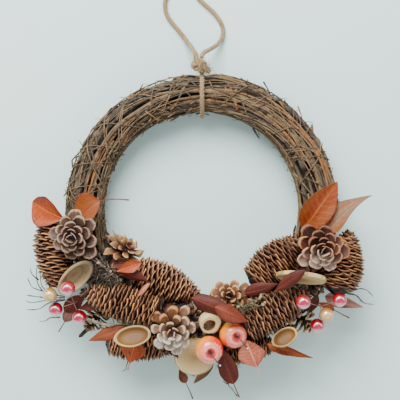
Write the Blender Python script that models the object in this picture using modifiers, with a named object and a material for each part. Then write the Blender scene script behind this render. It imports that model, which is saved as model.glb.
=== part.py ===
"""Harvest door wreath, lying on its back: +Z faces the viewer, +Y is the top of the wreath.

A ring of twigs carries spruce cones, pine cones, wood slices, apples, leaves and two springy
berry picks on its lower half, and hangs by a loop of jute twine tied round its top.
Every piece is seated on the twig bundle by its bearing round the ring and its lean round the
bundle, so it follows the ring's size, the bundle's size and its own.
"""

import math

import bmesh
import bpy
from mathutils import Matrix, Vector

# Driving dimensions, in metres.
CLEARANCE = 0.0004  # left between touching pieces
RING_RADIUS = 0.128  # of the twig bundle's centreline
RING_X = -0.0001  # the ring's centre, so that the whole object is centred on the origin
RING_Y = 0.0197
CORE_RADIUS = 0.014
STRAND_RADIUS = 0.0038
STRAND_COUNT = 8
STRAND_TURNS = 1  # each outer strand winds once round the core
ROD_RADIUS = 0.0032  # the two back rods that the wreath rests on
ROD_SPREAD = 0.008  # of each back rod from the bundle's centreline
ROD_BREAK = 0.007  # half the break in the back rods where the twine goes round
TWINE_RADIUS = 0.0026
KNOT_RADII = (0.009, 0.0072, 0.0068)
KNOT_LEAN = 34.0  # degrees above the plane of the ring
KNOT_ASIDE = 0.0034  # of the knot to the left of the band
SPRUCE_ROWS = 7  # rows of scales on a plain spruce cone
PINE_ROWS = 3
WIRE_RADIUS = 0.0007
STEM_RADIUS = 0.0012  # where a pick's wires are twisted together
BERRY_RADIUS = 0.0076
APPLE_RADIUS = 0.0148
APPLE_DIMPLE = 0.0035
LEAF_THICKNESS = 0.0009
LEAF_STALK_WIDTH = 0.0016
SLICE_BEVEL = 0.0008
DISH_WALL = 0.0028

RING_STEPS = 30  # stations round the ring, shared by everything that follows it
TURN_STEPS = 10
LEAF_STEPS = 8

# What follows from them.
STRAND_ORBIT = CORE_RADIUS + CLEARANCE + STRAND_RADIUS
BUNDLE_REACH = STRAND_ORBIT + STRAND_RADIUS
TWINE_ORBIT = BUNDLE_REACH + CLEARANCE + TWINE_RADIUS
BUNDLE_Z = TWINE_ORBIT + TWINE_RADIUS + CLEARANCE

# name, bearing, lean, lift, heading of the tip, tilt of the tip (degrees), length, radius
SPRUCE_CONES = [
    ("spruce_cone_outer_left", 197, 33, 0.001, -93, -2, 0.076, 0.0225),
    ("spruce_cone_centre_left", 227, 85, 0.001, 164, 0, 0.086, 0.0210),
    ("spruce_cone_inner_left", 246, 155, 0.004, -20, 0, 0.076, 0.0190),
    ("spruce_cone_bottom_left", 247, 43, 0.000, -7, -4, 0.076, 0.0185),
    ("spruce_cone_inner_right", 328, 137, 0.000, 44, 0, 0.070, 0.0210),
    ("spruce_cone_outer_right", 341.3, 43, 0.000, 78, -2, 0.066, 0.0222),
    ("spruce_cone_lower_right", 308, 85, 0.001, 27, 0, 0.080, 0.0215),
    ("spruce_cone_bottom_right", 290, 41, 0.000, 8, 0, 0.066, 0.0160),
]

# name, bearing, lean, lift of the base, heading, tilt, height, radius
PINE_CONES = [
    ("pine_cone_left", 191, 82, 0.018, -150, 80, 0.036, 0.0280),
    ("pine_cone_centre", 256, 92, 0.018, -100, 82, 0.036, 0.0260),
    ("pine_cone_right", 343, 88, 0.020, -60, 82, 0.036, 0.0275),
    ("pine_cone_small_left", 206, 140, 0.004, 40, 35, 0.032, 0.0160),
    ("pine_cone_small_centre", 285.6, 142, 0.0065, 80, 60, 0.030, 0.0180),
    ("pine_cone_under_left", 225, 14, 0.004, -130, 20, 0.030, 0.0160),
    ("pine_cone_under_right", 312, 19, 0.002, -40, 20, 0.030, 0.0160),
]

# name, bearing, lean, lift, heading of the face, tilt of the face, radius, thickness, narrowing
WOOD_SLICES = [
    ("wood_slice_bottom", 267, 52, 0.020, -90, 68, 0.0220, 0.0060, 1.0),
    ("wood_slice_right", 326, 93, 0.035, -97, 20, 0.0265, 0.0050, 0.5),
]
WOOD_DISHES = [
    ("wood_dish_left", 206, 68, 0.038, -45, 48, 0.0210, 0.0090, 0.55),
    ("wood_dish_centre", 242, 67, 0.040, 100, 60, 0.0190, 0.0090, 0.6),
    ("wood_dish_right", 303, 55, 0.039, 120, 55, 0.0145, 0.0100, 0.7),
]
WOOD_CURL = ("wood_curl", 274, 101, 0.035, -60, 60, 0.0115, 0.0110)

# The two apples touch, so they lie either side of one middle point: its bearing, lean and
# lift, then the heading and tilt of the line from the front apple to the back one.
APPLE_MIDDLE = (278.3, 78, 0.0184)
APPLE_LINE = (31, -15)
# name, side of the middle, heading of the dimple, tilt of the dimple
APPLES = [
    ("apple_front", -1, -53, 80),
    ("apple_back", 1, -12, 72),
]
APPLE_WIRE_RISE = 0.0065  # straight out of the dimple, before the wire leans over
APPLE_WIRE_LENGTH = 0.0145  # of the part that leans over
APPLE_WIRE_LEAN = (-50, 15)  # its heading and tilt

# pick, then bearing, lean and lift of its foot and of the hub where its wires part
PICKS = {
    "left": ((217, 15, 0.002), (216, 40, 0.031)),
    "right": ((320, 15, 0.002), (321, 47, 0.029)),
}
# pick, name, bearing, lean, lift
BERRIES = [
    ("left", "berry_red_left_upper", 210, 67, 0.051),
    ("left", "berry_red_left_outer", 214, 32, 0.041),
    ("left", "berry_red_left_lower", 221, 40, 0.029),
    ("left", "berry_gold_left", 209, 40, 0.043),
    ("right", "berry_red_right_inner", 318, 81, 0.047),
    ("right", "berry_red_right_outer", 327, 46, 0.035),
    ("right", "berry_red_right_lower", 315, 41, 0.030),
    ("right", "berry_gold_right", 320, 47, 0.034),
]

# name, (bearing, lean, lift) of the stalk's end and of the tip, width, stalk's share, bow, roll
LEAVES = [
    ("leaf_top_left_outer", (184, 73, 0.030), (177, 41, 0.044), 0.032, 0.00, 0.004, -25),
    ("leaf_top_left_inner", (172, 143, 0.041), (184, 74, 0.010), 0.028, 0.40, 0.005, 20),
    ("leaf_top_right_inner", (349, 119, 0.016), (12, 67, 0.025), 0.026, 0.00, 0.004, 15),
    ("leaf_top_right_outer", (351, 78, 0.016), (5, 38, 0.045), 0.024, 0.00, 0.003, -20),
    ("leaf_centre", (263, 120, 0.051), (292, 95, 0.042), 0.018, 0.00, 0.004, 0),
    ("leaf_bottom_mossy", (281, 20, 0.060), (278, 69, 0.027), 0.022, 0.30, 0.003, 0),
    ("leaf_bottom_pink", (289, 29, 0.047), (289, 72, 0.029), 0.026, 0.25, 0.003, 0),
    ("leaf_bottom_small", (267, 14, 0.057), (262, 25, 0.028), 0.013, 0.55, 0.002, 0),
    ("leaf_right_tip", (325, 33, 0.018), (329, 16, 0.056), 0.015, 0.00, 0.002, 0),
    ("leaf_lower_left", (237, 68, 0.025), (229, 31, 0.044), 0.018, 0.00, 0.003, 20),
    ("leaf_right_orange", (296, 58, 0.032), (307, 29, 0.056), 0.012, 0.00, 0.002, 0),
]

# The hanging loop's route from the knot, over the surface and back: across and up from the
# knot's centre in metres, then the height as a share of the knot's height.
LOOP_ROUTE = [
    (-0.0032, 0.0083, 0.900),
    (-0.0038, 0.0133, 0.750),
    (-0.0071, 0.0203, 0.470),
    (-0.0116, 0.0288, 0.180),
    (-0.0181, 0.0383, 0.030),
    (-0.0266, 0.0488, 0.000),
    (-0.0346, 0.0588, 0.000),
    (-0.0379, 0.0693, 0.000),
    (-0.0374, 0.0798, 0.000),
    (-0.0326, 0.0890, 0.000),
    (-0.0236, 0.0943, 0.000),
    (-0.0136, 0.0928, 0.000),
    (-0.0051, 0.0858, 0.000),
    (0.0024, 0.0773, 0.000),
    (0.0109, 0.0698, 0.000),
    (0.0189, 0.0618, 0.000),
    (0.0247, 0.0528, 0.000),
    (0.0272, 0.0438, 0.000),
    (0.0256, 0.0353, 0.035),
    (0.0202, 0.0273, 0.160),
    (0.0129, 0.0210, 0.380),
    (0.0066, 0.0163, 0.630),
    (0.0036, 0.0120, 0.810),
    (0.0032, 0.0083, 0.900),
]
LOOP_STEPS = 46

# slot: colour, roughness, metallic
FINISHES = {
    "twig_bark": ((0.200, 0.140, 0.095), 0.85, 0.0),
    "jute_twine": ((0.520, 0.410, 0.250), 0.95, 0.0),
    "spruce_cone": ((0.330, 0.170, 0.080), 0.75, 0.0),
    "pine_cone": ((0.280, 0.160, 0.095), 0.80, 0.0),
    "pale_wood": ((0.640, 0.500, 0.290), 0.70, 0.0),
    "apple_skin": ((0.700, 0.140, 0.060), 0.20, 0.0),
    "iron_wire": ((0.060, 0.050, 0.050), 0.45, 0.8),
    "red_pearl": ((0.620, 0.035, 0.070), 0.15, 0.0),
    "gold_pearl": ((0.620, 0.430, 0.200), 0.18, 0.0),
    "dry_leaf": ((0.420, 0.130, 0.050), 0.50, 0.0),
}


def clear_scene():
    for thing in list(bpy.data.objects):
        bpy.data.objects.remove(thing, do_unlink=True)


def make_collections():
    """The wreath's own collection, and one for the shapes that only join or cut."""
    made = []
    for name in ("harvest_door_wreath", "cutters"):
        group = bpy.data.collections.new(name)
        bpy.context.scene.collection.children.link(group)
        made.append(group)
    return made


def make_finish(slot):
    """One Principled material for a finish, made once and shared."""
    if slot in bpy.data.materials:
        return bpy.data.materials[slot]
    colour, roughness, metallic = FINISHES[slot]
    finish = bpy.data.materials.new(slot)
    finish.use_nodes = True
    shader = finish.node_tree.nodes["Principled BSDF"]
    shader.inputs["Base Color"].default_value = (*colour, 1.0)
    shader.inputs["Roughness"].default_value = roughness
    shader.inputs["Metallic"].default_value = metallic
    return finish


def add_object(name, data, slot, group):
    """Puts new mesh or curve data into the wreath under the node's name."""
    piece = bpy.data.objects.new(name, data)
    data.materials.append(make_finish(slot))
    group.objects.link(piece)
    return piece


def add_bmesh(name, shape, slot, group):
    """Turns a bmesh into a smooth-shaded node."""
    data = bpy.data.meshes.new(name)
    shape.to_mesh(data)
    shape.free()
    data.shade_smooth()
    data.set_sharp_from_angle(angle=math.radians(40))
    return add_object(name, data, slot, group)


def seat(bearing, lean, radius=0.0, lift=0.0):
    """Where a piece's centre lies when it is seated on the twig bundle.

    bearing goes round the ring from +X, lean goes round the bundle from its outer side over
    its front, radius is the piece's own, and lift holds it off for what lies underneath.
    """
    reach = BUNDLE_REACH + CLEARANCE + radius + lift
    across = RING_RADIUS + reach * math.cos(math.radians(lean))
    turn = math.radians(bearing)
    return Vector(
        (
            RING_X + across * math.cos(turn),
            RING_Y + across * math.sin(turn),
            BUNDLE_Z + reach * math.sin(math.radians(lean)),
        )
    )


def direction(heading, tilt):
    """A unit vector from its heading in the ring's plane and its tilt out of it."""
    level = math.cos(math.radians(tilt))
    turn = math.radians(heading)
    return Vector((level * math.cos(turn), level * math.sin(turn), math.sin(math.radians(tilt))))


def aim(piece, centre, heading, tilt, scale=(1.0, 1.0, 1.0)):
    """Places a piece with its own +Z along a direction."""
    turn = direction(heading, tilt).to_track_quat("Z", "Y")
    piece.matrix_world = Matrix.LocRotScale(centre, turn, Vector(scale))


def turned(name, outline, slot, group, closed=False):
    """A turned solid: its outline of (radius, height) runs down the outer side."""
    data = bpy.data.meshes.new(name)
    shape = bmesh.new()
    corners = [shape.verts.new((radius, 0.0, height)) for radius, height in outline]
    for first, second in zip(corners, corners[1:]):
        shape.edges.new((first, second))
    if closed:
        shape.edges.new((corners[-1], corners[0]))
    shape.to_mesh(data)
    shape.free()
    piece = add_object(name, data, slot, group)
    turn = piece.modifiers.new("turn", "SCREW")
    turn.axis = "Z"
    turn.steps = turn.render_steps = TURN_STEPS
    turn.use_merge_vertices = True
    turn.merge_threshold = 0.00001
    return piece


def tube(name, points, radius, slot, group, cyclic=False, resolution=1):
    """A round tube along straight spans, with filled ends unless it is a closed loop."""
    data = bpy.data.curves.new(name, "CURVE")
    data.dimensions = "3D"
    data.bevel_depth = radius
    data.bevel_resolution = resolution
    data.use_fill_caps = not cyclic
    line = data.splines.new("POLY")
    line.points.add(len(points) - 1)
    for corner, point in zip(line.points, points):
        corner.co = (*point, 1.0)
    line.use_cyclic_u = cyclic
    return add_object(name, data, slot, group)


def smooth_route(points, count):
    """Evenly spread points on a smooth curve through a route's own points."""
    dense = []
    last = len(points) - 1
    per_span = 12
    for index in range(last):
        before = points[max(index - 1, 0)]
        start, end = points[index], points[index + 1]
        after = points[min(index + 2, last)]
        for step in range(per_span):
            t = step / per_span
            bend = 2 * before - 5 * start + 4 * end - after
            twist = 3 * start - before - 3 * end + after
            dense.append(0.5 * (2 * start + (end - before) * t + bend * t**2 + twist * t**3))
    dense.append(points[last])
    run = [0.0]
    for first, second in zip(dense, dense[1:]):
        run.append(run[-1] + (second - first).length)
    spread = []
    span = 0
    for step in range(count):
        want = run[-1] * step / (count - 1)
        while span < len(dense) - 2 and run[span + 1] < want:
            span += 1
        share = (want - run[span]) / (run[span + 1] - run[span])
        spread.append(dense[span].lerp(dense[span + 1], share))
    return spread


def ring_station(step, out, up):
    """A point at one of the shared stations round the ring."""
    turn = 2 * math.pi * step / RING_STEPS
    across = RING_RADIUS + out
    return Vector(
        (
            RING_X + across * math.cos(turn),
            RING_Y + across * math.sin(turn),
            BUNDLE_Z + up,
        )
    )


def make_twig_core(group):
    """The inner twigs, packed into one ring."""
    tools = bpy.ops.mesh
    tools.primitive_torus_add(
        major_radius=RING_RADIUS,
        minor_radius=CORE_RADIUS,
        major_segments=RING_STEPS,
        minor_segments=8,
        location=(RING_X, RING_Y, BUNDLE_Z),
    )
    core = bpy.context.active_object
    for owner in list(core.users_collection):
        owner.objects.unlink(core)
    group.objects.link(core)
    core.name = "twig_core"
    core.data.materials.append(make_finish("twig_bark"))
    core.data.shade_smooth()


def make_twig_strands(group):
    """The outer twigs, each winding once round the core as it goes round the ring."""
    for strand in range(STRAND_COUNT):
        points = []
        for step in range(RING_STEPS):
            turns = STRAND_TURNS * step / RING_STEPS + strand / STRAND_COUNT
            lean = 2 * math.pi * turns
            points.append(
                ring_station(step, STRAND_ORBIT * math.cos(lean), STRAND_ORBIT * math.sin(lean))
            )
        name = f"twig_strand_{strand + 1:02d}"
        tube(name, points, STRAND_RADIUS, "twig_bark", group, cyclic=True)


def make_back_rods(group):
    """Two shaved rods on the back, open at the top where the twine goes round."""
    for name, side in (("back_rod_outer", 1), ("back_rod_inner", -1)):
        radius = RING_RADIUS + side * ROD_SPREAD
        open_angle = ROD_BREAK / radius
        shape = bmesh.new()
        section = bmesh.ops.create_circle(shape, cap_ends=True, segments=6, radius=ROD_RADIUS)
        rest = ROD_RADIUS * math.cos(math.pi / 6)
        stand = Matrix.Rotation(math.pi / 2, 4, "X") @ Matrix.Rotation(math.pi / 6, 4, "Z")
        bmesh.ops.transform(shape, matrix=stand, verts=section["verts"])
        bmesh.ops.translate(shape, verts=section["verts"], vec=(radius, 0.0, rest))
        start = Matrix.Rotation(math.pi / 2 + open_angle, 3, "Z")
        bmesh.ops.rotate(shape, verts=section["verts"], cent=(0.0, 0.0, 0.0), matrix=start)
        bmesh.ops.spin(
            shape,
            geom=shape.verts[:] + shape.edges[:] + shape.faces[:],
            cent=(0.0, 0.0, 0.0),
            axis=(0.0, 0.0, 1.0),
            angle=2 * math.pi - 2 * open_angle,
            steps=RING_STEPS,
            use_merge=False,
        )
        bmesh.ops.translate(shape, verts=shape.verts[:], vec=(RING_X, RING_Y, 0.0))
        bmesh.ops.recalc_face_normals(shape, faces=shape.faces[:])
        add_bmesh(name, shape, "twig_bark", group)


def make_twine(group):
    """The band round the bundle, the knot on its shoulder and the free hanging loop."""
    steps = 20
    band = []
    for step in range(steps):
        lean = 2 * math.pi * step / steps
        out = TWINE_ORBIT * math.cos(lean)
        band.append(
            Vector((RING_X, RING_Y + RING_RADIUS + out, BUNDLE_Z + TWINE_ORBIT * math.sin(lean)))
        )
    tube("twine_band", band, TWINE_RADIUS, "jute_twine", group, cyclic=True)

    shape = bmesh.new()
    bmesh.ops.create_icosphere(shape, subdivisions=2, radius=1.0)
    bmesh.ops.scale(shape, vec=KNOT_RADII, verts=shape.verts[:])
    knot = add_bmesh("twine_knot", shape, "jute_twine", group)
    reach = TWINE_ORBIT + TWINE_RADIUS + CLEARANCE + KNOT_RADII[1]
    lean = math.radians(KNOT_LEAN)
    knot.location = (
        RING_X - KNOT_ASIDE,
        RING_Y + RING_RADIUS + reach * math.cos(lean),
        BUNDLE_Z + reach * math.sin(lean),
    )

    rest = TWINE_RADIUS + CLEARANCE
    route = []
    for across, up, share in LOOP_ROUTE:
        height = rest + share * (knot.location.z - rest)
        route.append(Vector((knot.location.x + across, knot.location.y + up, height)))
    points = smooth_route(route, LOOP_STEPS)
    tube("twine_loop", points, TWINE_RADIUS, "jute_twine", group, resolution=2)


def spruce_outline(length, radius):
    """A long cone's outline from tip to base, one step out and in for each row of scales."""
    outline = [(0.0, length / 2)]
    for row in range(SPRUCE_ROWS):
        share = (row + 1) / SPRUCE_ROWS
        swell = radius * math.sin(math.pi * (0.02 + 0.72 * share)) ** 0.7
        low = length / 2 - length * (share - 0.04)
        outline.append((swell * 0.78, low + 0.72 * length / SPRUCE_ROWS))
        outline.append((swell, low))
    outline.append((radius * 0.45, -length / 2))
    outline.append((0.0, -length / 2))
    return outline


def pine_outline(height, radius):
    """An open cone's outline from its front to its base, with the rows of scales stepped."""
    outline = [(0.0, height)]
    for row in range(PINE_ROWS):
        share = (row + 1) / PINE_ROWS
        swell = radius * math.sin(math.pi * 0.5 * share) ** 0.8
        low = height * (1.0 - 0.52 * share)
        outline.append((swell * 0.86, low + 0.10 * height))
        outline.append((swell, low))
    outline.append((radius * 0.50, 0.26 * height))
    outline.append((radius * 0.24, 0.0))
    outline.append((0.0, 0.0))
    return outline


def make_cones(group):
    for name, bearing, lean, lift, heading, tilt, length, radius in SPRUCE_CONES:
        cone = turned(name, spruce_outline(length, radius), "spruce_cone", group)
        aim(cone, seat(bearing, lean, radius, lift), heading, tilt)
    for name, bearing, lean, lift, heading, tilt, height, radius in PINE_CONES:
        cone = turned(name, pine_outline(height, radius), "pine_cone", group)
        aim(cone, seat(bearing, lean, 0.0, lift), heading, tilt)


def make_wood(group):
    """Slices, hollowed dishes and one curled ring of pale wood."""
    for name, bearing, lean, lift, heading, tilt, radius, thickness, narrow in WOOD_SLICES:
        half = thickness / 2
        outline = [
            (0.0, half),
            (radius - SLICE_BEVEL, half),
            (radius, half - SLICE_BEVEL),
            (radius, SLICE_BEVEL - half),
            (radius - SLICE_BEVEL, -half),
            (0.0, -half),
        ]
        piece = turned(name, outline, "pale_wood", group)
        aim(piece, seat(bearing, lean, half, lift), heading, tilt, (1.0, narrow, 1.0))
    for name, bearing, lean, lift, heading, tilt, radius, depth, narrow in WOOD_DISHES:
        outline = [
            (0.0, DISH_WALL),
            (radius * 0.62, DISH_WALL + 0.25 * (depth - DISH_WALL)),
            (radius - DISH_WALL, depth),
            (radius, depth),
            (radius * 0.68, 0.12 * depth),
            (0.0, 0.0),
        ]
        piece = turned(name, outline, "pale_wood", group)
        aim(piece, seat(bearing, lean, 0.0, lift), heading, tilt, (1.0, narrow, 1.0))
    name, bearing, lean, lift, heading, tilt, radius, depth = WOOD_CURL
    inner = radius * 0.52
    outline = [(radius, depth / 2), (radius, -depth / 2), (inner, -depth / 2), (inner, depth / 2)]
    piece = turned(name, outline, "pale_wood", group, closed=True)
    aim(piece, seat(bearing, lean, radius, lift - radius), heading, tilt)


def apple_outline():
    """An apple's outline, dimpled where the wire goes in."""
    points = [(0.0, APPLE_RADIUS * 0.86 - APPLE_DIMPLE)]
    for step in range(1, 10):
        turn = math.pi * step / 10
        swell = APPLE_RADIUS * math.sin(turn) ** 0.85
        points.append((swell, APPLE_RADIUS * 0.90 * math.cos(turn)))
    points.append((0.0, -APPLE_RADIUS * 0.86 + APPLE_DIMPLE * 0.3))
    return points


def make_apples(group):
    bearing, lean, lift = APPLE_MIDDLE
    middle = seat(bearing, lean, APPLE_RADIUS, lift)
    spread = direction(*APPLE_LINE) * (APPLE_RADIUS + CLEARANCE)
    for name, side, heading, tilt in APPLES:
        centre = middle + spread * side
        apple = turned(name, apple_outline(), "apple_skin", group)
        aim(apple, centre, heading, tilt)
        up = direction(heading, tilt)
        foot = centre + up * (APPLE_RADIUS * 0.86 - APPLE_DIMPLE + WIRE_RADIUS + CLEARANCE)
        bend = foot + up * APPLE_WIRE_RISE
        end = bend + direction(*APPLE_WIRE_LEAN) * APPLE_WIRE_LENGTH
        tube(f"{name}_wire", [foot, bend, end], WIRE_RADIUS, "iron_wire", group)


def solid_tube(name, points, radius, group):
    """A tube made into a closed mesh, so that it can be joined to another."""
    line = tube(name, points, radius, "iron_wire", group)
    bpy.context.view_layer.update()
    data = bpy.data.meshes.new_from_object(line.evaluated_get(bpy.context.evaluated_depsgraph_get()))
    shape = bmesh.new()
    shape.from_mesh(data)
    bmesh.ops.remove_doubles(shape, verts=shape.verts[:], dist=0.00001)
    shape.to_mesh(data)
    shape.free()
    bpy.data.objects.remove(line, do_unlink=True)
    piece = bpy.data.objects.new(name, data)
    group.objects.link(piece)
    return piece


def make_picks(group, cutters):
    """Each pick: a twisted stem, four wires joined to it in a hub, and a berry on each wire."""
    for side, (foot, hub) in PICKS.items():
        base = seat(foot[0], foot[1], 0.0, foot[2])
        top = seat(hub[0], hub[1], 0.0, hub[2])
        stem = solid_tube(f"berry_wires_{side}", [base, top], STEM_RADIUS, group)
        parts = []
        for owner, name, bearing, lean, lift in BERRIES:
            if owner != side:
                continue
            centre = seat(bearing, lean, BERRY_RADIUS, lift)
            shape = bmesh.new()
            bmesh.ops.create_icosphere(shape, subdivisions=2, radius=BERRY_RADIUS)
            slot = "gold_pearl" if "gold" in name else "red_pearl"
            berry = add_bmesh(name, shape, slot, group)
            berry.location = centre
            way = (centre - top).normalized()
            end = centre - way * (BERRY_RADIUS + CLEARANCE)
            start = top - way * STEM_RADIUS * 0.4
            parts.append(solid_tube(f"{name}_wire", [start, end], WIRE_RADIUS, cutters))
        ball = bmesh.new()
        bmesh.ops.create_icosphere(ball, subdivisions=2, radius=STEM_RADIUS * 1.5)
        hub_piece = add_bmesh(f"berry_hub_{side}", ball, "iron_wire", cutters)
        hub_piece.location = top
        parts.append(hub_piece)
        for part in parts:
            part.hide_render = True
            part.display_type = "WIRE"
            joined = stem.modifiers.new(part.name, "BOOLEAN")
            joined.operation = "UNION"
            joined.object = part


def leaf_half_width(share, width, stalk):
    """Half the width of a leaf at a share of its length from the stalk's end."""
    narrow = LEAF_STALK_WIDTH / 2
    if share <= stalk:
        return narrow
    along = (share - stalk) / (1.0 - stalk)
    return narrow + width / 2 * math.sin(math.pi * along**0.85) ** 0.9 * (1.0 - 0.2 * along)


def make_leaves(group):
    """Dry leaves as thin bowed blades, each on its own stalk."""
    for name, root, tip, width, stalk, bow, roll in LEAVES:
        start = seat(root[0], root[1], 0.0, root[2])
        end = seat(tip[0], tip[1], 0.0, tip[2])
        along = (end - start).normalized()
        length = (end - start).length
        side = Vector((0.0, 0.0, 1.0)).cross(along).normalized()
        side = Matrix.Rotation(math.radians(roll), 3, along) @ side
        front = along.cross(side)
        shape = bmesh.new()
        bmesh.ops.create_grid(shape, x_segments=LEAF_STEPS, y_segments=2, size=0.5)
        for corner in shape.verts:
            share, across = corner.co.x + 0.5, corner.co.y * 2.0
            half = leaf_half_width(share, width, stalk)
            rise = bow * math.sin(math.pi * share) + 0.18 * half * across**2
            corner.co = start + along * length * share + side * half * across + front * rise
        bmesh.ops.recalc_face_normals(shape, faces=shape.faces[:])
        leaf = add_bmesh(name, shape, "dry_leaf", group)
        body = leaf.modifiers.new("thickness", "SOLIDIFY")
        body.thickness = LEAF_THICKNESS
        body.offset = 0.0


def build_wreath():
    clear_scene()
    wreath, cutters = make_collections()
    make_twig_core(wreath)
    make_twig_strands(wreath)
    make_back_rods(wreath)
    make_twine(wreath)
    make_cones(wreath)
    make_wood(wreath)
    make_apples(wreath)
    make_picks(wreath, cutters)
    make_leaves(wreath)


build_wreath()
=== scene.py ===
"""Looks of a harvest door wreath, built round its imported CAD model.

Everything is in metres in the CAD's own frame: +Z is the wreath's front and +Y its top.
Single twigs, cone scales, leaves and pearls take the place of the plain CAD solids.
"""

import math
import random

import bmesh
import bpy
from mathutils import Matrix, Vector, noise


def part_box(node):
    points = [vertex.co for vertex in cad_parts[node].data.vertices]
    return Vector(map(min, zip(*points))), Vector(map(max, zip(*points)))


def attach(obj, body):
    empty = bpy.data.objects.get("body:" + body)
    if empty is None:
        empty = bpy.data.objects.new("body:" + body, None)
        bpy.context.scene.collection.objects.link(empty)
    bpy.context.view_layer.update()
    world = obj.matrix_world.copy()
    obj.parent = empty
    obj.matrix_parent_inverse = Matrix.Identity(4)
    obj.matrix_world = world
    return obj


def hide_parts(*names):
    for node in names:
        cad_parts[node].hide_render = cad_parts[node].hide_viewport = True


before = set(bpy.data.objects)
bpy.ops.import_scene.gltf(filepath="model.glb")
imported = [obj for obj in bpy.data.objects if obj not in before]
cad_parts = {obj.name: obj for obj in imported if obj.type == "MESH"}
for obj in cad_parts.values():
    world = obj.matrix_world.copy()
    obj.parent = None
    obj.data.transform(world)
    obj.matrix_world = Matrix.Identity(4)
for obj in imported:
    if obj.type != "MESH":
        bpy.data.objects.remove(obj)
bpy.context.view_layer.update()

# ---------------------------------------------------------------- sizes, from the frame

CORE_LOW, CORE_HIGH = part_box("twig_core")
RING_CENTRE = (CORE_LOW + CORE_HIGH) / 2
CORE_RADIUS = (CORE_HIGH.z - CORE_LOW.z) / 2
RING_RADIUS = (CORE_HIGH.x - CORE_LOW.x) / 2 - CORE_RADIUS
STRANDS = [f"twig_strand_{number:02d}" for number in range(1, 9)]
BUNDLE_REACH = max(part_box(name)[1].z for name in STRANDS) - RING_CENTRE.z
CLEARANCE = 0.0004
KNOT_LOW, KNOT_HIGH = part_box("twine_knot")
KNOT_CENTRE = (KNOT_LOW + KNOT_HIGH) / 2
TWINE_RADIUS = 0.0026
TWINE_ORBIT = BUNDLE_REACH + CLEARANCE + TWINE_RADIUS
BERRY_RADIUS = (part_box("berry_gold_left")[1].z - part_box("berry_gold_left")[0].z) / 2
APPLE_RADIUS = 0.0148
APPLE_SQUAT = 0.90  # an apple's height as a share of its width
WIRE_RADIUS = 0.0006


def direction(heading, tilt):
    """A unit vector from its heading in the ring's plane and its tilt out of it."""
    level = math.cos(math.radians(tilt))
    turn = math.radians(heading)
    return Vector((level * math.cos(turn), level * math.sin(turn), math.sin(math.radians(tilt))))


def ring_point(bearing, lean, reach):
    """A point round the ring at a bearing, and round its bundle at a lean and a reach."""
    across = RING_RADIUS + reach * math.cos(math.radians(lean))
    turn = math.radians(bearing)
    out = Vector((across * math.cos(turn), across * math.sin(turn), 0.0))
    return RING_CENTRE + out + Vector((0.0, 0.0, reach * math.sin(math.radians(lean))))


def seat(bearing, lean, lift):
    """A place that far above the twig bundle."""
    return ring_point(bearing, lean, BUNDLE_REACH + CLEARANCE + lift)


def spot(across, up, height):
    """A place across and up from the ring's centre, at a height above the surface."""
    return Vector((RING_CENTRE.x + across, RING_CENTRE.y + up, height))


def pose_of(origin, toward):
    """A turned place whose own Z runs along a direction, as the CAD pieces are turned."""
    return Matrix.Translation(origin) @ toward.to_track_quat("Z", "Y").to_matrix().to_4x4()


def lie_of(node, toward):
    """Foot, length and half width of a CAD node, measured along a direction."""
    corners = [corner.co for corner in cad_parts[node].data.vertices]
    turn = toward.to_track_quat("Z", "Y")
    middle = Vector()
    half = 0.0
    for axis in (turn @ Vector((1.0, 0.0, 0.0)), turn @ Vector((0.0, 1.0, 0.0))):
        reach = [corner.dot(axis) for corner in corners]
        middle += axis * (min(reach) + max(reach)) / 2
        half = max(half, (max(reach) - min(reach)) / 2)
    run = [corner.dot(toward) for corner in corners]
    return middle + toward * min(run), max(run) - min(run), half


# ---------------------------------------------------------------- random and mesh helpers


def random_tone(rng, middle, spread):
    return min(1.0, max(0.0, rng.gauss(middle, spread)))


def random_way(rng, low, high):
    """A level direction at random, with a rise between low and high."""
    return Vector((rng.uniform(-1, 1), rng.uniform(-1, 1), rng.uniform(low, high)))


def move(shape, matrix):
    bmesh.ops.transform(shape, matrix=matrix, verts=shape.verts[:])


def shift(shape, offset):
    bmesh.ops.translate(shape, vec=offset, verts=shape.verts[:])


def squash(shape, shares):
    bmesh.ops.scale(shape, vec=shares, verts=shape.verts[:])


def heap():
    """An empty bmesh with the tone and the grain that the finishes read at each point."""
    shape = bmesh.new()
    shape.verts.layers.float.new("tone")
    shape.verts.layers.float_vector.new("grain")
    return shape


def kept(shape, name="part"):
    """A bmesh as plain mesh data, to be copied into heaps."""
    data = bpy.data.meshes.new(name)
    shape.to_mesh(data)
    shape.free()
    return data


def drop(into, part, place, tone):
    """Adds a copy of a part to a heap with its own tone, moved to its place if it has one."""
    first = len(into.verts)
    into.from_mesh(part)
    into.verts.ensure_lookup_table()
    fresh = into.verts[first:]
    if place is not None:
        bmesh.ops.transform(into, matrix=place, verts=fresh)
    layer = into.verts.layers.float["tone"]
    for corner in fresh:
        corner[layer] = tone


def pour(into, shape, tone):
    """Adds a whole bmesh to a heap."""
    part = kept(shape)
    drop(into, part, None, tone)
    bpy.data.meshes.remove(part)


def show(name, shape, finish, body="root", stands_for=(), rounds=0):
    """Turns a bmesh into a finished piece that rides on a body."""
    data = bpy.data.meshes.new(name)
    for face in shape.faces:
        face.smooth = True
    shape.to_mesh(data)
    shape.free()
    data.materials.append(finish)
    piece = bpy.data.objects.new(name, data)
    bpy.context.scene.collection.objects.link(piece)
    if rounds:
        rounding = piece.modifiers.new("rounding", "SUBSURF")
        rounding.levels = rounding.render_levels = rounds
    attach(piece, body)
    if stands_for:
        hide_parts(*stands_for)
    return piece


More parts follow.
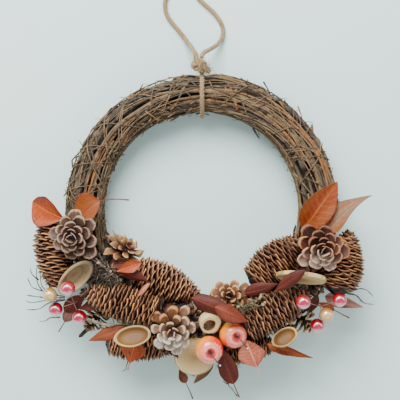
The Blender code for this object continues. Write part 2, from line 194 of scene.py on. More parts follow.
def frames_along(points, closed=False):
    """A frame at each point whose Z runs along the line, twisted as little as possible."""
    count = len(points)
    frames = []
    side = None
    for index, point in enumerate(points):
        if closed:
            ahead = points[(index + 1) % count] - points[index - 1]
        else:
            ahead = points[min(index + 1, count - 1)] - points[max(index - 1, 0)]
        ahead = ahead.normalized()
        side = ahead.orthogonal() if side is None else side - ahead * side.dot(ahead)
        side = side.normalized()
        turn = Matrix((side, ahead.cross(side), ahead)).transposed()
        frames.append(Matrix.Translation(point) @ turn.to_4x4())
    return frames


def sweep(points, radii, sides, seed=0.0):
    """A closed tube along points. Its grain is each corner's place as if the tube were straight."""
    shape = heap()
    grain = shape.verts.layers.float_vector["grain"]
    radii = [radii] * len(points) if isinstance(radii, float) else radii
    thick = max(radii)
    bmesh.ops.create_circle(shape, segments=sides, radius=1.0)
    for corner in shape.verts:
        corner[grain] = (corner.co.x * thick + seed, corner.co.y * thick + seed, 0.0)
    frames = frames_along(points)
    places = [at @ Matrix.Diagonal((size, size, size, 1.0)) for at, size in zip(frames, radii)]
    move(shape, places[0])
    rim = shape.edges[:]
    run = 0.0
    for index in range(1, len(points)):
        run += (points[index] - points[index - 1]).length
        grown = bmesh.ops.extrude_edge_only(shape, edges=rim)["geom"]
        fresh = [item for item in grown if isinstance(item, bmesh.types.BMVert)]
        ends = set(fresh)
        rim = [item for item in grown if isinstance(item, bmesh.types.BMEdge)]
        rim = [edge for edge in rim if edge.verts[0] in ends and edge.verts[1] in ends]
        step = places[index] @ places[index - 1].inverted()
        bmesh.ops.transform(shape, matrix=step, verts=fresh)
        for corner in fresh:
            corner[grain] = (corner[grain][0], corner[grain][1], run)
    bmesh.ops.holes_fill(shape, edges=shape.edges[:], sides=0)
    bmesh.ops.recalc_face_normals(shape, faces=shape.faces[:])
    return shape


def smooth_route(points, count):
    """Evenly spread points on a smooth curve through a route's own points."""
    dense = []
    last = len(points) - 1
    per_span = 12
    for index in range(last):
        before = points[max(index - 1, 0)]
        start, end = points[index], points[index + 1]
        after = points[min(index + 2, last)]
        for step in range(per_span):
            t = step / per_span
            bend = 2 * before - 5 * start + 4 * end - after
            twist = 3 * start - before - 3 * end + after
            dense.append(0.5 * (2 * start + (end - before) * t + bend * t**2 + twist * t**3))
    dense.append(points[last])
    run = [0.0]
    for first, second in zip(dense, dense[1:]):
        run.append(run[-1] + (second - first).length)
    spread = []
    span = 0
    for step in range(count):
        want = run[-1] * step / (count - 1)
        while span < len(dense) - 2 and run[span + 1] < want:
            span += 1
        share = (want - run[span]) / (run[span + 1] - run[span])
        spread.append(dense[span].lerp(dense[span + 1], share))
    return spread


def length_of(points):
    return sum((second - first).length for first, second in zip(points, points[1:]))


# ---------------------------------------------------------------- node helpers


def tint(red, green, blue):
    """A linear colour from 0 to 255 values."""
    shares = [value / 255 for value in (red, green, blue)]
    linear = [((s + 0.055) / 1.055) ** 2.4 if s > 0.04 else s / 12.92 for s in shares]
    return (*linear, 1.0)


def put(tree, kind, inputs=None, **settings):
    """Adds a node. An input takes a value, or another node's output."""
    node = tree.nodes.new("ShaderNode" + kind)
    for name, value in settings.items():
        setattr(node, name, value)
    for key, value in (inputs or {}).items():
        if isinstance(value, bpy.types.NodeSocket):
            tree.links.new(value, node.inputs[key])
        else:
            node.inputs[key].default_value = value
    return node


def ramp(tree, factor, *stops):
    """A colour ramp through (place, (red, green, blue)) stops."""
    node = put(tree, "ValToRGB", {"Fac": factor})
    line = node.color_ramp.elements
    for index, (place, colour) in enumerate(stops):
        mark = line[index] if index < 2 else line.new(place)
        mark.position = place
        mark.color = tint(*colour)
    return node.outputs["Color"]


def calc(tree, operation, first, second=0.0, limit=False):
    node = put(tree, "Math", {0: first, 1: second}, operation=operation, use_clamp=limit)
    return node.outputs[0]


def mixed(tree, factor, first, second, mode="MIX"):
    """Two colours mixed."""
    inputs = {0: factor, 6: first, 7: second}
    return put(tree, "Mix", inputs, data_type="RGBA", blend_type=mode).outputs[2]


def shaded(tree, colour, light):
    """A colour made darker or lighter by a value."""
    grey = put(tree, "CombineColor", {0: light, 1: light, 2: light}).outputs[0]
    return mixed(tree, 1.0, colour, grey, "MULTIPLY")


def noise_at(tree, vector, scale, detail):
    inputs = {"Vector": vector, "Scale": scale, "Detail": detail}
    return put(tree, "TexNoise", inputs).outputs["Fac"]


def spread_to(tree, value, low, high, start=0.0, end=1.0, style="LINEAR"):
    """A value carried from one range to another."""
    inputs = {"Value": value, "From Min": low, "From Max": high, "To Min": start, "To Max": end}
    return put(tree, "MapRange", inputs, interpolation_type=style).outputs[0]


def new_group(name, wants, gives):
    tree = bpy.data.node_groups.new(name, "ShaderNodeTree")
    for side, sockets in (("INPUT", wants), ("OUTPUT", gives)):
        for label, kind in sockets:
            tree.interface.new_socket(label, in_out=side, socket_type="NodeSocket" + kind)
    ins = tree.nodes.new("NodeGroupInput").outputs
    outs = tree.nodes.new("NodeGroupOutput").inputs
    return tree, ins, outs


def make_streaks():
    """Fibres that run along the grain: noise drawn out along its third axis."""
    wants = [("Vector", "Vector"), ("Scale", "Float"), ("Draw", "Float"), ("Tone", "Float")]
    tree, ins, outs = new_group("grain_streaks", wants, [("Value", "Float")])
    drawn = put(tree, "CombineXYZ", {0: 1.0, 1: 1.0, 2: ins["Draw"]}).outputs[0]
    pulled = put(tree, "VectorMath", {0: ins["Vector"], 1: drawn}, operation="MULTIPLY").outputs[0]
    offset = calc(tree, "MULTIPLY", ins["Tone"], 3.7)
    moved = put(tree, "VectorMath", {0: pulled, 1: offset}, operation="ADD").outputs[0]
    inputs = {"Vector": moved, "Scale": ins["Scale"], "Detail": 3.0, "Roughness": 0.6}
    tree.links.new(put(tree, "TexNoise", inputs).outputs["Fac"], outs["Value"])
    return tree


def make_mottle():
    """A colour broken up by patches of another, at one size, and darkened at a finer one."""
    wants = [("Vector", "Vector"), ("Scale", "Float"), ("Colour", "Color"), ("Patch", "Color")]
    wants += [("Amount", "Float"), ("Shade", "Float")]
    tree, ins, outs = new_group("mottled_colour", wants, [("Colour", "Color"), ("Height", "Float")])
    big = noise_at(tree, ins["Vector"], ins["Scale"], 2.0)
    patch = spread_to(tree, big, 0.42, 0.66)
    patch = calc(tree, "MULTIPLY", patch, ins["Amount"], limit=True)
    colour = mixed(tree, patch, ins["Colour"], ins["Patch"])
    finer = calc(tree, "MULTIPLY", ins["Scale"], 5.0)
    small = noise_at(tree, ins["Vector"], finer, 4.0)
    dark = spread_to(tree, small, 0.3, 0.7)
    low = calc(tree, "SUBTRACT", 1.0, ins["Shade"])
    depth = calc(tree, "MULTIPLY", dark, ins["Shade"])
    light = calc(tree, "ADD", low, depth)
    tree.links.new(shaded(tree, colour, light), outs["Colour"])
    tree.links.new(small, outs["Height"])
    return tree


STREAKS = make_streaks()
MOTTLE = make_mottle()


def streaks(tree, vector, scale, draw, tone):
    inputs = {"Vector": vector, "Scale": scale, "Draw": draw, "Tone": tone}
    return put(tree, "Group", inputs, node_tree=STREAKS).outputs[0]


def mottle(tree, vector, scale, colour, patch, amount, shade):
    inputs = {"Vector": vector, "Scale": scale, "Colour": colour, "Patch": patch}
    inputs.update({"Amount": amount, "Shade": shade})
    return put(tree, "Group", inputs, node_tree=MOTTLE)


def new_finish(name):
    """A fresh material with its tree, its shader, and what it can read from the mesh."""
    material = bpy.data.materials.new(name)
    material.use_nodes = True
    tree = material.node_tree
    grain = put(tree, "Attribute", attribute_name="grain").outputs["Vector"]
    tone = put(tree, "Attribute", attribute_name="tone").outputs["Fac"]
    return material, tree, tree.nodes["Principled BSDF"], grain, tone


def preset(shader, values):
    for name, value in values.items():
        shader.inputs[name].default_value = value


def wire_up(tree, shader, colour, height, strength, depth, roughness):
    """Joins a colour and a height to the shader, and sets its roughness."""
    tree.links.new(colour, shader.inputs["Base Color"])
    shader.inputs["Roughness"].default_value = roughness
    bump = put(tree, "Bump", {"Height": height, "Strength": strength, "Distance": depth})
    tree.links.new(bump.outputs[0], shader.inputs["Normal"])


def make_bark(name, stops, scale=900.0, draw=0.08, coords="grain", shade=0.55):
    """Bark: streaked along the twig, its colour chosen by the twig's tone."""
    material, tree, shader, grain, tone = new_finish(name)
    if coords == "object":
        grain = put(tree, "TexCoord").outputs["Object"]
    streak = streaks(tree, grain, scale, draw, tone)
    base = ramp(tree, tone, *stops)
    pale = mixed(tree, 0.3, base, tint(156, 140, 118))
    mottled = mottle(tree, grain, 160.0, base, pale, 0.8, 0.5)
    light = spread_to(tree, streak, 0.32, 0.68, 1.0 - shade, 1.22)
    colour = shaded(tree, mottled.outputs[0], light)
    height = calc(tree, "ADD", streak, mottled.outputs[1])
    wire_up(tree, shader, colour, height, 0.7, 0.0006, 0.82)
    return material


BARK_STOPS = [
    (0.0, (36, 26, 21)),
    (0.30, (76, 60, 47)),
    (0.62, (124, 101, 74)),
    (0.85, (156, 118, 72)),
    (1.0, (172, 102, 46)),
]
# Dark bark for the filler twigs under the cones: their own dark bark, deepened as painted shade between
# the cones.
DARK_STOPS = [(0.0, (30, 22, 18)), (1.0, (58, 44, 34))]
WIRY_STOPS = [(0.0, (46, 42, 42)), (1.0, (92, 84, 80))]
LICHEN_STOPS = [(0.0, (66, 58, 46)), (0.6, (128, 120, 100)), (1.0, (196, 190, 172))]
FIBRE_STOPS = [(0.0, (28, 22, 18)), (0.6, (86, 72, 58)), (1.0, (176, 158, 134))]
MOSS_STOPS = [(0.0, (40, 38, 28)), (0.5, (92, 88, 62)), (1.0, (198, 178, 128))]

BARK = make_bark("twig_bark_weathered", BARK_STOPS)
# A darker copy of the bark for the twigs deep in the bundle: painted shade in the gaps between the outer
# twigs.
SHADED_INNER_BARK = make_bark("twig_bark_inner_shaded", [(0.0, (34, 25, 20)), (1.0, (66, 50, 37))])
BARK_DARK = make_bark("twig_bark_dark", DARK_STOPS)
BARK_ROD = make_bark("rod_bark", [(0.0, (150, 126, 98)), (1.0, (160, 134, 104))], 500.0, 0.7, "object")
WIRY = make_bark("wiry_twig", WIRY_STOPS, 1800.0, 0.1)
LICHEN = make_bark("lichen_twig", LICHEN_STOPS, 700.0, 0.5, shade=0.5)
MOSS = make_bark("moss_twig", MOSS_STOPS, 900.0, 0.4, shade=0.5)
FIBRE = make_bark("bark_fibre", FIBRE_STOPS, 900.0, 0.3, shade=0.5)


def make_jute():
    """Jute: pale dry fibres laid along each ply."""
    material, tree, shader, grain, tone = new_finish("jute_fibre")
    streak = streaks(tree, grain, 2600.0, 0.12, tone)
    colour = ramp(
        tree,
        streak,
        (0.3, (90, 66, 40)),
        (0.5, (158, 126, 82)),
        (0.7, (206, 178, 130)),
    )
    mottled = mottle(tree, grain, 120.0, colour, tint(176, 146, 100), 0.5, 0.4).outputs[0]
    wire_up(tree, shader, mottled, streak, 0.8, 0.0005, 0.9)
    preset(shader, {"Sheen Weight": 0.25, "Sheen Roughness": 0.6})
    return material


JUTE = make_jute()

# ---------------------------------------------------------------- camera, surface and light

CAMERA_HEIGHT = 1.2
CAMERA_ASIDE = Vector((-0.0022, 0.011, 0.0))
VIEW_HALF = 0.220  # half the width seen at the height of the twig bundle


def make_camera():
    eye = bpy.data.cameras.new("camera")
    eye.sensor_width = 36.0
    eye.lens = 18.0 * (CAMERA_HEIGHT - RING_CENTRE.z) / VIEW_HALF
    eye.clip_start = 0.05
    camera = bpy.data.objects.new("camera", eye)
    camera.location = Vector((RING_CENTRE.x, RING_CENTRE.y, CAMERA_HEIGHT)) + CAMERA_ASIDE
    bpy.context.scene.collection.objects.link(camera)
    bpy.context.scene.camera = camera


def make_surface():
    """The plain pale floor that the wreath lies on."""
    shape = bmesh.new()
    bmesh.ops.create_grid(shape, x_segments=2, y_segments=2, size=3.0)
    data = bpy.data.meshes.new("surface")
    shape.to_mesh(data)
    shape.free()
    material = bpy.data.materials.new("pale_floor")
    material.use_nodes = True
    tree = material.node_tree
    shader = tree.nodes["Principled BSDF"]
    place = put(tree, "TexCoord").outputs["Object"]
    cloud = noise_at(tree, place, 3.0, 2.0)
    colour = ramp(tree, cloud, (0.35, (200, 226, 226)), (0.65, (209, 233, 230)))
    tree.links.new(colour, shader.inputs["Base Color"])
    preset(shader, {"Roughness": 0.75})
    data.materials.append(material)
    surface = bpy.data.objects.new("surface", data)
    surface.location.z = -0.0002
    bpy.context.scene.collection.objects.link(surface)


def make_light(name, place, size, power, colour):
    lamp = bpy.data.lights.new(name, "AREA")
    lamp.shape = "DISK"
    lamp.size = size
    lamp.energy = power
    lamp.color = colour
    light = bpy.data.objects.new(name, lamp)
    light.location = place
    aim = (Vector((0.0, 0.0, 0.03)) - light.location).to_track_quat("-Z", "Y")
    light.rotation_mode = "QUATERNION"
    light.rotation_quaternion = aim
    bpy.context.scene.collection.objects.link(light)


def make_lights():
    make_light("window", Vector((-0.35, 1.1, 1.3)), 1.25, 70.0, (1.0, 0.985, 0.955))
    make_light("fill", Vector((0.6, -1.2, 1.2)), 1.4, 8.0, (1.0, 0.99, 0.98))
    world = bpy.data.worlds.new("room")
    bpy.context.scene.world = world
    world.use_nodes = True
    back = world.node_tree.nodes["Background"]
    back.inputs["Color"].default_value = (0.94, 1.0, 0.98, 1.0)
    back.inputs["Strength"].default_value = 0.8


make_camera()
make_surface()
make_lights()

# ---------------------------------------------------------------- twine

LOOP_REST = TWINE_RADIUS + CLEARANCE
LOOP_STEPS = 46
# across and up from the knot's centre, then the height as a share of the knot's
LOOP_ROUTE = [
    (-0.0032, 0.0083, 0.900), (-0.0038, 0.0133, 0.750), (-0.0071, 0.0203, 0.470),
    (-0.0116, 0.0288, 0.180), (-0.0181, 0.0383, 0.030), (-0.0266, 0.0488, 0.000),
    (-0.0346, 0.0588, 0.000), (-0.0379, 0.0693, 0.000), (-0.0374, 0.0798, 0.000),
    (-0.0326, 0.0890, 0.000), (-0.0236, 0.0943, 0.000), (-0.0136, 0.0928, 0.000),
    (-0.0051, 0.0858, 0.000), (0.0024, 0.0773, 0.000), (0.0109, 0.0698, 0.000),
    (0.0189, 0.0618, 0.000), (0.0247, 0.0528, 0.000), (0.0272, 0.0438, 0.000),
    (0.0256, 0.0353, 0.035), (0.0202, 0.0273, 0.160), (0.0129, 0.0210, 0.380),
    (0.0066, 0.0163, 0.630), (0.0036, 0.0120, 0.810), (0.0032, 0.0083, 0.900),
]
PLY_COUNT = 3
PLY_RADIUS = 0.00135
PLY_ORBIT = 0.00125
PLY_PITCH = 0.0115
HAIR_RADIUS = 0.00011
HAIRS = {"loop": 420, "band": 260, "tail": 420, "neck": 200}
BAND_STEPS = 20
WRAP_STEPS = 14


def lay_rope(into, route, rng, closed=False):
    """Three plies wound round a route."""
    steps = max(24, int(length_of(route) / 0.0011))
    path = smooth_route(route + [route[0]] if closed else route, steps)
    if closed:
        path = path[:-1]
    frames = frames_along(path, closed)
    turns = round(length_of(path) / PLY_PITCH)
    for ply in range(PLY_COUNT):
        line = []
        for index, at in enumerate(frames):
            turn = 2 * math.pi * (ply / PLY_COUNT + turns * index / len(frames))
            orbit = PLY_ORBIT * (1.0 + 0.08 * noise.noise(Vector((index * 0.11, ply * 5.0, 0.0))))
            line.append(at @ Vector((orbit * math.cos(turn), orbit * math.sin(turn), 0.0)))
        if closed:
            line += line[:2]
        thick = [
            PLY_RADIUS * (1.0 + 0.07 * noise.noise(Vector((index * 0.23, ply * 9.0, 1.0))))
            for index in range(len(line))
        ]
        pour(into, sweep(line, thick, 8, seed=ply * 0.01), tone=rng.random())


def lay_hairs(into, route, count, rng, longest, floor=0.0003):
    """Loose fibres that stand off a rope."""
    path = smooth_route(route, max(30, int(length_of(route) / 0.002)))
    frames = frames_along(path)
    for _ in range(count):
        at = frames[rng.randrange(1, len(frames) - 1)]
        turn = rng.uniform(0, 2 * math.pi)
        reach = rng.uniform(0.3, 1.0) ** 2 * longest
        out = Vector((math.cos(turn), math.sin(turn), rng.uniform(-1.4, 1.4))).normalized()
        start = at @ (Vector((math.cos(turn), math.sin(turn), 0.0)) * TWINE_RADIUS * 0.8)
        way = (at.to_3x3() @ out) * reach
        bend = random_way(rng, -1, 1) * reach * 0.35
        line = [start, start + way * 0.5 + bend * 0.5, start + way + bend]
        for point in line:
            point.z = max(point.z, floor)
        pour(into, sweep(line, [HAIR_RADIUS, HAIR_RADIUS, HAIR_RADIUS * 0.4], 3), tone=rng.random())


def make_twine():
    rng = random.Random(11)
    loop_route = []
    for across, up, share in LOOP_ROUTE:
        height = LOOP_REST + share * (KNOT_CENTRE.z - LOOP_REST)
        loop_route.append(Vector((KNOT_CENTRE.x + across, KNOT_CENTRE.y + up, height)))
    path = smooth_route(loop_route, LOOP_STEPS)
    shape = heap()
    lay_rope(shape, path, rng)
    lay_hairs(shape, path, HAIRS["loop"], rng, 0.0023)
    loop = show("twine_loop_rope", shape, JUTE, stands_for=["twine_loop"])

    band = []
    for step in range(BAND_STEPS):
        point = ring_point(90.0, 360.0 * step / BAND_STEPS, TWINE_ORBIT)
        point.x = RING_CENTRE.x
        band.append(point)
    shape = heap()
    lay_rope(shape, band, rng, closed=True)
    lay_hairs(shape, band[:11], HAIRS["band"], rng, 0.005, 0.004)
    show("twine_band_rope", shape, JUTE, stands_for=["twine_band"])

    half = (KNOT_HIGH - KNOT_LOW) / 2
    shape = heap()
    for lean, turn, size in [(20, 0, 0.74), (-32, 70, 0.66), (75, 20, 0.62)]:
        tip = Matrix.Rotation(math.radians(turn), 4, "Z") @ Matrix.Rotation(math.radians(lean), 4, "X")
        ring = []
        for step in range(WRAP_STEPS):
            angle = 2 * math.pi * step / WRAP_STEPS
            point = tip @ Vector((math.cos(angle), math.sin(angle) * 0.85, 0.12 * math.sin(2 * angle)))
            room = Vector([point[axis] * (half[axis] - TWINE_RADIUS * 0.75) for axis in range(3)])
            ring.append(KNOT_CENTRE + room * (0.92 + 0.1 * size))
        lay_rope(shape, ring, rng, closed=True)
    tail = [KNOT_CENTRE + Vector(step) for step in ((0.001, 0.002, 0.003), (0.0048, -0.0015, 0.0035))]
    tail += [KNOT_CENTRE + Vector(step) for step in ((0.0085, -0.0055, 0.003), (0.0115, -0.0085, 0.001))]
    lay_rope(shape, tail, rng)
    lay_hairs(shape, tail, HAIRS["tail"], rng, 0.010, 0.004)
    neck = [KNOT_CENTRE + Vector(step) for step in ((-0.0035, 0.0125, 0.0), (-0.002, 0.005, 0.0035))]
    neck += [KNOT_CENTRE + Vector(step) for step in ((0.001, -0.001, 0.0045), (0.002, -0.008, 0.002))]
    lay_rope(shape, neck, rng)
    lay_hairs(shape, neck, HAIRS["neck"], rng, 0.005, 0.004)
    show("twine_knot_wraps", shape, JUTE, stands_for=["twine_knot"])


make_twine()

# ---------------------------------------------------------------- the twig ring

BAND_BEARING = 90.0
LANES = 21  # of outer twigs, side by side round the bundle
THIN_TWIGS = 110
CROSSING_TWIGS = 90
BINDING_TWIGS = 34
SHOOTS = 34


def near_band(bearing):
    """1 under the twine band, 0 away from it."""
    gap = abs((bearing - BAND_BEARING + 180.0) % 360.0 - 180.0)
    return max(0.0, 1.0 - gap / 5.0)


def twig_line(bearing, span, lean, swing, reach, rng, step=0.0045, wander=0.0012):
    """Points of a twig that runs round the ring inside the bundle."""
    count = max(6, int(math.radians(abs(span)) * RING_RADIUS / step))
    phase = rng.uniform(0, 50)
    points = []
    for index in range(count + 1):
        share = index / count
        at = bearing + span * share
        drift = noise.noise(Vector((share * abs(span) / 28.0, phase, 0.0)))
        side = noise.noise(Vector((share * abs(span) / 22.0, phase, 9.0)))
        out = reach + wander * drift
        out = min(out, reach * (1.0 - near_band(at)) + (BUNDLE_REACH - 0.0035) * near_band(at))
        points.append(ring_point(at, lean + swing * share + 7.0 * side, out))
    return points


def twig_radii(count, thick, rng, taper):
    """A twig's radius at each point: it tapers, swells at its buds and closes at its tip."""
    marks = [rng.uniform(0, count) for _ in range(max(1, count // 7))]
    radii = []
    for index in range(count):
        share = index / (count - 1)
        radius = thick * (1.0 - taper * share)
        for mark in marks:
            radius += thick * 0.50 * math.exp(-((index - mark) ** 2) / 0.7)
        if index == count - 1:
            radius *= 0.35
        radii.append(radius)
    return radii


def roughen(corners, shape, depth, size):
    """Pushes corners in and out along their normals."""
    shape.normal_update()
    for corner in corners:
        corner.co += corner.normal * depth * noise.noise(corner.co * size)


def lay_twig(into, points, thick, rng, tone, sides, taper, stubs=0, buds=0):
    """One twig, with short broken side shoots and buds."""
    twig = sweep(points, twig_radii(len(points), thick, rng, taper), sides, seed=rng.random() * 0.1)
    roughen(twig.verts[:], twig, thick * 0.30, 210.0)
    pour(into, twig, tone=tone)
    for number in range(stubs + buds):
        index = rng.randrange(2, len(points) - 2)
        along = (points[index + 1] - points[index]).normalized()
        flat_out = points[index] - RING_CENTRE
        flat_out.z = 0.0
        centre = RING_CENTRE + flat_out.normalized() * RING_RADIUS
        out = (points[index] - centre).normalized()
        if out.z < -0.2:
            continue
        if number >= stubs:
            bud = heap()
            bmesh.ops.create_icosphere(bud, subdivisions=1, radius=thick * rng.uniform(0.45, 0.8))
            bmesh.ops.subdivide_edges(bud, edges=bud.edges[:], cuts=1, smooth=0.6, use_grid_fill=True)
            aside = out + along.cross(out) * rng.uniform(-0.9, 0.9)
            shift(bud, points[index] + aside.normalized() * thick * 0.8)
            pour(into, bud, tone=min(1.0, tone + rng.uniform(-0.1, 0.3)))
            continue
        way = (along * rng.uniform(0.5, 1.0) + out * rng.uniform(0.5, 1.1)).normalized()
        size = rng.uniform(0.003, 0.0075)
        foot = points[index] + out * thick * 0.5
        line = [foot, foot + way * size * 0.6, foot + way * size + along * size * 0.2]
        width = thick * rng.uniform(0.3, 0.5)
        pour(into, sweep(line, [width, width * 0.8, width * 0.55], 6), tone=tone)


def make_ring():
    rng = random.Random(5)
    shape = heap()
    # The inner twigs wear the darker bark as painted shade deep in the bundle, under the outer twigs.
    for ring, (reach, count, thick) in enumerate([(0.0, 1, 0.0052), (0.0095, 9, 0.0041)]):
        for index in range(count):
            lean = 360.0 * index / count + 12.0 * ring
            points = twig_line(rng.uniform(0, 360), 364.0, lean, 70.0, reach, rng, 0.007)
            pour(shape, sweep(points, thick, 8, seed=rng.random()), tone=rng.random())
    show("inner_twigs", shape, SHADED_INNER_BARK, stands_for=["twig_core"])

    for part in range(3):
        shape = heap()
        for lane in range(part, LANES, 3):
            start = rng.uniform(0, 360)
            done = 0.0
            while done < 360.0:
                span = rng.uniform(120.0, 190.0)
                thick = rng.uniform(0.0014, 0.0028)
                lean = 360.0 * lane / LANES + rng.uniform(-9, 9)
                swing = rng.uniform(20, 120)
                reach = BUNDLE_REACH - thick - rng.uniform(0.0, 0.0042)
                lean += swing * done / 360
                swing = swing * span / 360
                points = twig_line(start + done, span, lean, swing, reach, rng, wander=0.0016)
                if rng.random() < 0.5:
                    points.reverse()
                tone = random_tone(rng, 0.42, 0.26)
                lay_twig(shape, points, thick, rng, tone, 8, 0.4, stubs=7, buds=10)
                done += span * 0.82
        show(f"outer_twigs_{part + 1}", shape, BARK, stands_for=STRANDS[part::3])

    shape = heap()
    for _ in range(THIN_TWIGS):
        span = rng.uniform(35.0, 120.0) * rng.choice((1, -1))
        thick = rng.uniform(0.0006, 0.0014)
        lean = rng.uniform(-30, 210)
        swing = rng.uniform(-110, 130) * span / 120
        reach = BUNDLE_REACH - thick + rng.uniform(-0.0012, 0.0008)
        points = twig_line(rng.uniform(0, 360), span, lean, swing, reach, rng, 0.004, 0.001)
        tone = random_tone(rng, 0.62, 0.24)
        lay_twig(shape, points, thick, rng, tone, 6, 0.6, stubs=2, buds=3)
    show("thin_twigs", shape, BARK)

    shape = heap()
    for _ in range(CROSSING_TWIGS):
        span = rng.uniform(6.0, 22.0) * rng.choice((1, -1))
        thick = rng.uniform(0.0005, 0.0012)
        swing = rng.uniform(30, 110) * rng.choice((1, -1))
        reach = BUNDLE_REACH - thick + rng.uniform(-0.0006, 0.0006)
        points = twig_line(
            rng.uniform(-30, 210), span, rng.uniform(-20, 200), swing, reach, rng, 0.003, 0.0006
        )
        lay_twig(shape, points, thick, rng, random_tone(rng, 0.5, 0.25), 6, 0.5, stubs=1, buds=2)
    show("crossing_twigs", shape, BARK)

    shape = heap()
    for _ in range(BINDING_TWIGS):
        bearing = rng.uniform(-20, 200)
        points = []
        lean = rng.uniform(-35, 20)
        turn = rng.uniform(110, 200)
        slope = rng.uniform(6, 30) * rng.choice((1, -1))
        for step in range(22):
            share = step / 21
            reach = BUNDLE_REACH + 0.0004 - 0.0012 * math.sin(share * 9.0) ** 2
            reach -= 0.004 * near_band(bearing + slope * share)
            points.append(ring_point(bearing + slope * share, lean + turn * share, reach))
        lay_twig(shape, points, rng.uniform(0.0004, 0.0007), rng, rng.uniform(0.5, 0.8), 5, 0.5)
    for _ in range(SHOOTS):
        bearing = rng.uniform(-25, 205)
        lean = rng.choice((rng.uniform(-35, 50), rng.uniform(130, 215)))
        foot = ring_point(bearing, lean, BUNDLE_REACH - 0.002)
        out = (foot - ring_point(bearing, lean, 0.0)).normalized()
        along = direction(bearing + rng.choice((90, -90)), 0.0)
        size = rng.uniform(0.006, 0.014)
        way = (along * rng.uniform(0.7, 1.3) + out * rng.uniform(0.3, 0.8)).normalized()
        line = [foot, foot + way * size * 0.5, foot + way * size + along * size * 0.15]
        lay_twig(
            shape, line + [line[-1] + way * 0.001], rng.uniform(0.0005, 0.0011), rng, rng.random(),
            5, 0.5
        )
    show("binding_twigs", shape, BARK)

    for name in ("back_rod_outer", "back_rod_inner"):
        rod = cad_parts[name]
        rod.data.materials.clear()
        rod.data.materials.append(BARK_ROD)


make_ring()

# ---------------------------------------------------------------- cones


def make_scale(columns, rows, shape_of):
    """A closed scale one unit long from its foot. shape_of gives half width, rise and thickness."""
    shape = heap()
    bmesh.ops.create_grid(shape, x_segments=columns, y_segments=rows, size=0.5)
    bmesh.ops.solidify(shape, geom=shape.faces[:], thickness=0.1)
    grain = shape.verts.layers.float_vector["grain"]
    for corner in shape.verts:
        across, along = corner.co.x * 2.0, corner.co.y + 0.5
        half, rise, thick, drop_back = shape_of(across, along)
        outer = 1.0 if abs(corner.co.z) > 0.05 else 0.0
        corner.co = Vector((half * across, rise + outer * thick, along - drop_back))
        corner[grain] = (across, outer, along)
    bmesh.ops.recalc_face_normals(shape, faces=shape.faces[:])
    return kept(shape, "scale")


def spruce_shape(across, along):
    half = 0.5 * math.sin(math.pi * (0.10 + 0.66 * along)) ** 0.7
    rise = 0.05 * along**2 - 0.20 * across**2 * along
    return half, rise, 0.04, 0.26 * across**2 * along


def spoon_shape(across, along):
    half = 0.5 * (0.30 + 0.70 * math.sin(math.pi * 0.58 * along**1.4))
    rise = -0.13 * across**2 * along + 0.10 * along - 0.10 * along**6
    swell = math.exp(-((along - 0.95) ** 2) / 0.012)
    return half, rise, 0.05 + 0.08 * along + 0.05 * swell, 0.20 * across**4 * along


def blunt_shape(across, along):
    half = 0.5 * (0.40 + 0.60 * math.sin(math.pi * 0.5 * along**1.5))
    rise = -0.05 * across**2 * along + 0.10 * along - 0.08 * along**5
    swell = math.exp(-((along - 0.95) ** 2) / 0.014)
    return half, rise, 0.08 + 0.08 * along + 0.10 * swell, 0.13 * across**4 * along


def wedge_shape(across, along):
    half = 0.5 * (0.34 + 0.5 * along) * (1.0 - 0.1 * across**2)
    rise = 0.16 * along**2
    swell = math.exp(-((along - 1.0) ** 2) / 0.012)
    return half, rise, 0.07 + 0.05 * along + 0.12 * swell, 0.08 * across**2


def splinter_shape(across, along):
    half = 0.5 * (0.42 + 0.58 * math.sin(math.pi * 0.5 * along))
    rise = -0.10 * across**2 + 0.14 * along**3
    return half, rise, 0.06, along**4 * (0.10 * across + 0.07 * math.sin(9.0 * across))


def scale_place(tip, radial, axis, open_angle, roll, width, length):
    """Where a scale goes: its tip, turned away from the axis by its opening angle."""
    lean = math.radians(open_angle)
    along = axis * math.cos(lean) + radial * math.sin(lean)
    outer = radial * math.cos(lean) - axis * math.sin(lean)
    side = outer.cross(along)
    spin = Matrix.Rotation(math.radians(roll), 3, along)
    side, outer = spin @ side, spin @ outer
    turn = Matrix((side * width, outer * length, along * length)).transposed().to_4x4()
    return Matrix.Translation(tip - along * length) @ turn


GOLDEN = math.radians(137.508)

# node, heading and tilt of the tip, tones of its scales, how full its scales stand
SPRUCE_CONES = [
    ("spruce_cone_outer_left", -93, -2, 0.44, 1.06),
    ("spruce_cone_centre_left", 164, 0, 0.44, 1.00),
    ("spruce_cone_inner_left", -20, 0, 0.44, 1.14),
    ("spruce_cone_bottom_left", -7, -4, 0.34, 1.02),
    ("spruce_cone_inner_right", 44, 0, 0.18, 1.08),
    ("spruce_cone_outer_right", 78, -2, 0.40, 1.08),
    ("spruce_cone_lower_right", 27, 0, 0.20, 1.04),
    ("spruce_cone_bottom_right", 8, 0, 0.24, 1.12),
]
SPRUCE_SCALE_COUNT = 142
BASE_SCALES = 20  # that close the foot of the cone


def spruce_reach(share, half):
    """A long cone's radius at a share of its length from the tip."""
    return half * max(0.05, math.sin(math.pi * (0.02 + 0.72 * share))) ** 0.7


